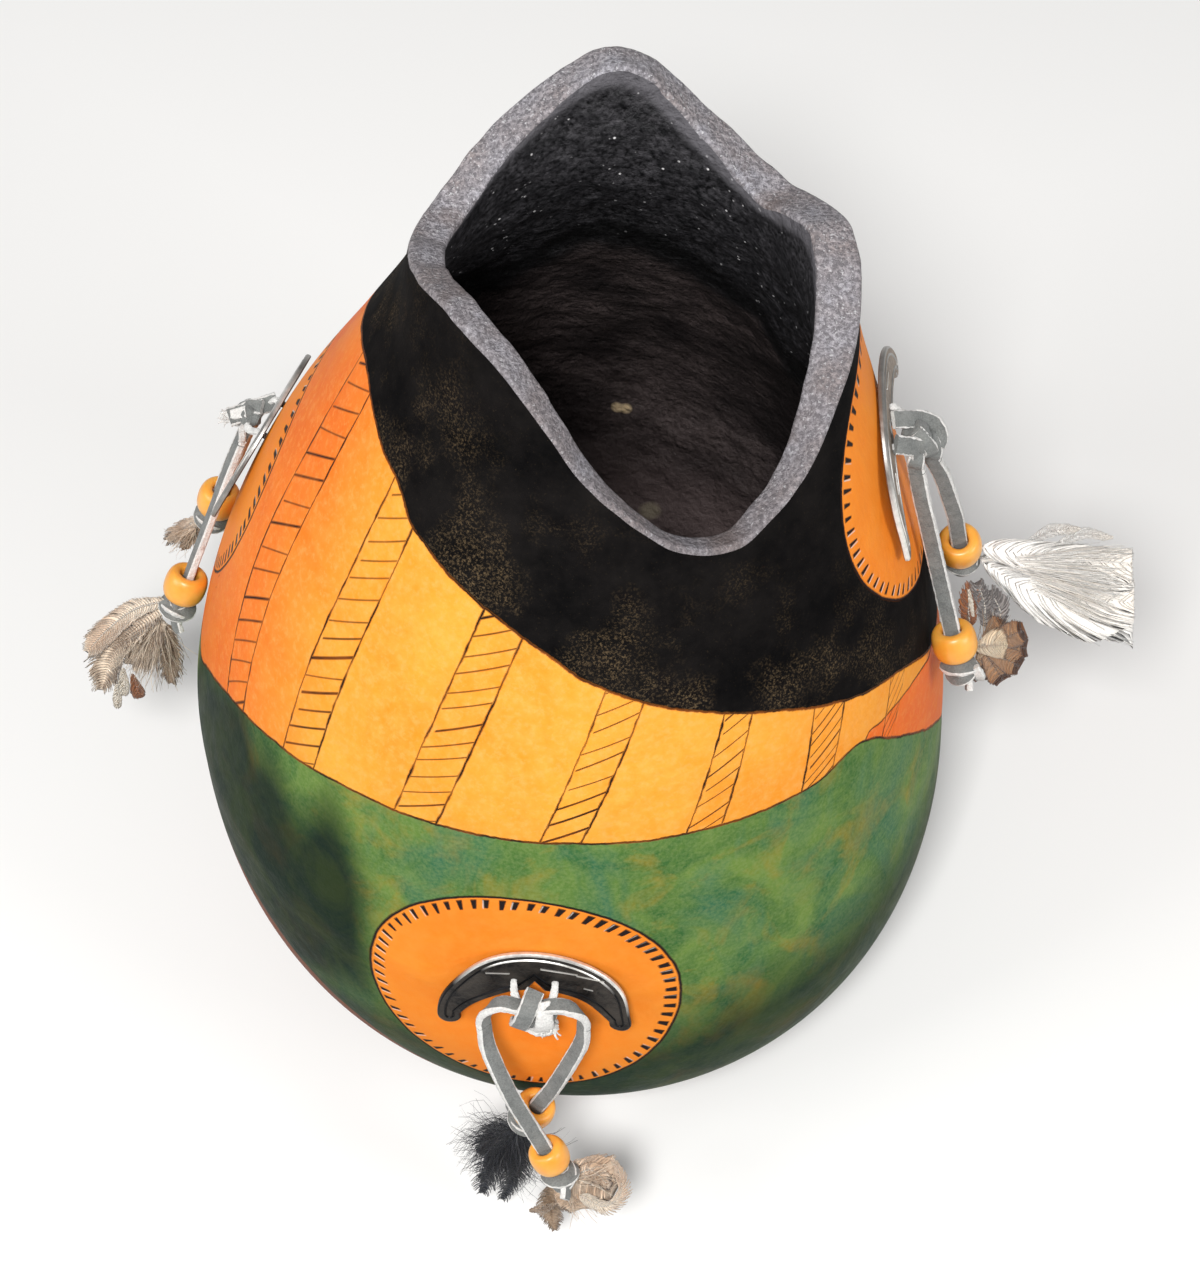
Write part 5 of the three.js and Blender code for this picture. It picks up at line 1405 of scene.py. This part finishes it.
def makeShell():
    shell = {"columns": 420, "lowRows": 112, "highRows": 54, "insideHigh": 40, "insideLow": 62, "split": 125, "seam": -203}
    b = shell["seam"] + np.arange(shell["columns"]) * 360 / shell["columns"]
    rounding = 1.1
    top, wall = rimAt(b), wallAt(b)
    top = top + np.array([noise.noise(Vector((math.cos(math.radians(v)) * 7, math.sin(math.radians(v)) * 7, 3))) * 0.5 for v in b])
    rows, zones = [], []

    def row(points, zone):
        rows.append(points)
        zones.append(zone)

    for share in (0.25, 0.5, 0.75):
        row(skinPoint(b, 0 * b) * share, 0)
    fine = np.linspace(0, shell["split"], 4000)
    run = np.concatenate([[0], np.cumsum(np.hypot(np.diff(fine), np.diff(skinRadius(fine))))])
    for z in np.interp(np.linspace(0, run[-1], shell["lowRows"]), run, fine):
        row(skinPoint(b, z + 0 * b), 0)
    out = skinNormal(b, top)
    up = unit(skinPoint(b, top) - skinPoint(b, top - 1))
    outer = skinPoint(b, top)
    inner = outer - out * wall[:, None]
    shoulder = top - rounding * up[:, 2]
    for s in np.linspace(0, 1, shell["highRows"])[1:]:
        row(skinPoint(b, shell["split"] + (shoulder - shell["split"]) * s), 0)

    def corner(a, mid, c, zone):
        for t in (0.2, 0.4, 0.6, 0.8, 1.0):
            row(a * (1 - t) ** 2 + mid * 2 * t * (1 - t) + c * t * t, zone)

    corner(outer - up * rounding, outer, outer - out * rounding, 1)
    for s in (0.25, 0.5, 0.75):
        row(outer - out * (rounding + (wall - 2 * rounding) * s)[:, None], 1)
    row(inner + out * rounding, 1)
    corner(inner + out * rounding, inner, inner - up * rounding, 1)
    for s in np.linspace(1, 0, shell["insideHigh"])[1:]:
        row(inset(b, shell["split"] + (shoulder - shell["split"]) * s, wall), 2)
    for z in np.interp(np.linspace(run[-1], np.interp(12, fine, run), shell["insideLow"])[1:], run, fine):
        row(inset(b, z + 0 * b, wall), 2)
    for z in (9, 6, 3):
        row(inset(b, z + 0 * b, wall), 2)
    last = rows[-1].copy()
    for share in (0.72, 0.46, 0.22):
        row(last * [share, share, 1] + np.array([0, 0, gourd["floor"] - last[:, 2].mean()]) * (1 - share), 2)

    grid = np.array(rows)
    count, columns = grid.shape[:2]
    normals = np.zeros_like(grid)  # rough the inside and the cut face a little
    along = np.roll(grid, -1, 1) - np.roll(grid, 1, 1)
    normals[1:-1] = unit(np.cross(along[1:-1], grid[2:] - grid[:-2]))
    for r in range(1, count - 1):
        if zones[r] == 0:
            continue
        deep = min(1.0, max(0, r - zones.index(2)) / 8) if zones[r] == 2 else 0.0
        for k in range(columns):
            p = Vector(grid[r, k])
            if zones[r] == 2:
                lift = noise.noise(p * 0.11) * 0.8 + noise.noise(p * 0.34) * 0.45
                lift += noise.noise(Vector((p.x * 0.05, p.y * 0.05, p.z * 0.5))) * 0.3
            else:
                lift = noise.noise(p * 0.25) * 0.14 + noise.noise(p * 0.9) * 0.05
            grid[r, k] = grid[r, k] + normals[r, k] * (lift * deep if zones[r] == 2 else lift)

    points = np.vstack([[[0, 0, 0]], grid.reshape(-1, 3), [[0, 0, gourd["floor"]]]])
    faces, slots = [], []
    start, end = 1, len(points) - 1
    for k in range(columns):
        faces.append((0, start + (k + 1) % columns, start + k))
        slots.append(0)
    for r in range(count - 1):
        for k in range(columns):
            a, c = start + r * columns + k, start + r * columns + (k + 1) % columns
            faces.append((a, c, c + columns, a + columns))
            slots.append(max(zones[r], zones[r + 1]) if zones[r] != 2 else 2)
    lastRow = start + (count - 1) * columns
    for k in range(columns):
        faces.append((lastRow + k, lastRow + (k + 1) % columns, end))
        slots.append(2)
    mesh = bpy.data.meshes.new("painted_gourd")
    mesh.from_pydata((points * 0.001).tolist(), [], faces)
    mesh.polygons.foreach_set("use_smooth", [True] * len(faces))

    # how far each point lies from the painted edges, in mm
    bearing = np.concatenate([[b[0]], np.tile(b, count), [b[0]]])
    z = points[:, 2]
    inRange = np.clip(z, 0.5, 190)
    r = skinRadius(inRange)
    slant = np.sqrt(1 + ((skinRadius(inRange + 0.5) - skinRadius(inRange - 0.5)) ** 2))

    def fromEdge(rows):
        height = around(rows, bearing)
        lean = np.degrees(around(rows, bearing + 0.5) - around(rows, bearing - 0.5)) * slant / r
        return np.clip((z - height) * slant / np.sqrt(1 + lean**2), -60, 60)

    values = {"blackEdge": fromEdge(paint["black"]), "greenEdge": fromEdge(paint["green"]), "underEdge": fromEdge(paint["under"])}
    reach = (bearing > -60) & (bearing <= 158)
    values["patchEdge"] = np.where(reach, -fromEdge(paint["patch"]), -20)
    values["warmth"] = np.clip((-138 - bearing) / 34 + (125 - z) * 0.006, 0, 0.8) * np.clip((-132 - bearing) / 12, 0, 1)
    # painted shade in the green: a blot at the left foot, partly darker paint there, and a darkening towards the bottom
    wobble = 3 * np.sin(bearing * 0.21) + 2 * np.sin(bearing * 0.47 + z * 0.1)
    blot = np.abs((bearing + 148 + wobble) / 31) ** 2.6 + np.abs((z + wobble - 68) / 34) ** 2.6
    leftShade = np.clip((1.15 - blot) * 1.25, 0, 1) * 0.93
    lowShade = np.clip((62 + 7 * np.clip((bearing + 90) / 25, 0, 1) - z) / 23, 0, 0.85)
    values["darkGreenAndShade"] = np.maximum(leftShade, lowShade)
    values["ledge"] = np.clip(z - around(paint["ledge"], bearing), -60, 60)
    values["height"] = z
    values["rimDrop"] = np.clip(rimAt(bearing) - z, -5, 40) + 3 * np.clip((-20 - bearing) / 30, 0, 1) * (bearing > -150)
    distance = np.full(len(points), 1e3)
    local = np.zeros((len(points), 3))
    for angle, height, radius in paint["medallions"]:
        middle, across = skinPoint(angle, height), skinAcross(angle)
        upward = np.cross(skinNormal(angle, height), across)
        gap = points - middle
        far = np.linalg.norm(gap, axis=1)
        plan = np.stack([gap @ across, gap @ upward, 0 * far], -1)
        plan = unit(plan) * far[:, None]
        nearer = far - radius < distance
        distance = np.where(nearer, far - radius, distance)
        local[nearer] = plan[nearer]
    values["discEdge"] = np.clip(distance, -60, 40)

    phase, rung = np.full(len(points), 0.5), np.zeros(len(points))
    phaseScale, rungScale = np.full(len(points), 30.0), np.full(len(points), 4.0)

    def lineAt(top, low):
        return top[0] + (z - top[1]) * (low[0] - top[0]) / (low[1] - top[1])

    perDegree = r * math.pi / 180
    lastRight = None
    for k, (lt, lb, rt, rb, rungCount, rise) in enumerate(paint["ladders"], 1):
        left, right = lineAt(lt, lb), lineAt(rt, rb)
        lean = (lb[0] - lt[0]) * perDegree / ((lt[1] - lb[1]) * slant)
        upright = 1 / np.sqrt(1 + lean**2)
        before = left - 18 if lastRight is None else lastRight
        inGap = (bearing > before) & (bearing <= left)
        share = (bearing - before) / np.maximum(left - before, 0.1)
        phase = np.where(inGap, k - 0.8 + 0.6 * share, phase)
        phaseScale = np.where(inGap, np.maximum(left - before, 0.1) * perDegree * upright / 0.6, phaseScale)
        inStrip = (bearing > left) & (bearing <= right)
        share = (bearing - left) / np.maximum(right - left, 0.1)
        phase = np.where(inStrip, k - 0.2 + 0.4 * share, phase)
        phaseScale = np.where(inStrip, (right - left) * perDegree * upright / 0.4, phaseScale)
        near = (bearing > left - 4) & (bearing <= right + 4)
        topZ, lowZ = (lt[1] + rt[1]) / 2, (lb[1] + rb[1]) / 2
        spacing = (topZ - lowZ) / rungCount
        rung = np.where(near, (topZ - z + rise * (share - 0.5)) / spacing + 1, rung)
        slope = rise * slant / np.maximum((right - left) * perDegree, 1)
        rungScale = np.where(near, spacing * slant / np.sqrt(1 + slope**2), rungScale)
        lastRight = right
    phase = np.where(bearing > lastRight, np.minimum(k + 0.2 + 0.6 * (bearing - lastRight) / 24, k + 0.5), phase)
    on = ((bearing > -188) & (bearing < 140)).astype(float)
    vectors = {
        "ladder": np.stack([phase, rung, 0 * phase], -1),
        "ladderScale": np.stack([phaseScale, rungScale, on], -1),
        "discPlace": local,
    }
    for name, value in values.items():
        mesh.attributes.new(name, "FLOAT", "POINT").data.foreach_set("value", value.astype(np.float32))
    for name, value in vectors.items():
        mesh.attributes.new(name, "FLOAT_VECTOR", "POINT").data.foreach_set("vector", value.astype(np.float32).ravel())

    for material in (paintedSkin(), cutRim(), blackInside()):
        mesh.materials.append(material)
    mesh.polygons.foreach_set("material_index", slots)
    piece = bpy.data.objects.new("painted_gourd", mesh)
    scene.collection.objects.link(piece)
    settle(piece, "gourd", "gourd", "gourd_shell")
    print("gourd made")


# ---- put together ----

makeStudio()
suede = makeSuede()
laces = makeTails(suede)
stoppers = makeStoppers(suede)
beads = makeBeads()
bunches = makeFeathers()
for name, piece in laces.items():
    line = routes[name]["line"] * 0.001
    length = float(np.linalg.norm(np.diff(line, axis=0), axis=1).sum())
makeKnots(suede)
makeCrescents()
makeShell()

print("scene ready")
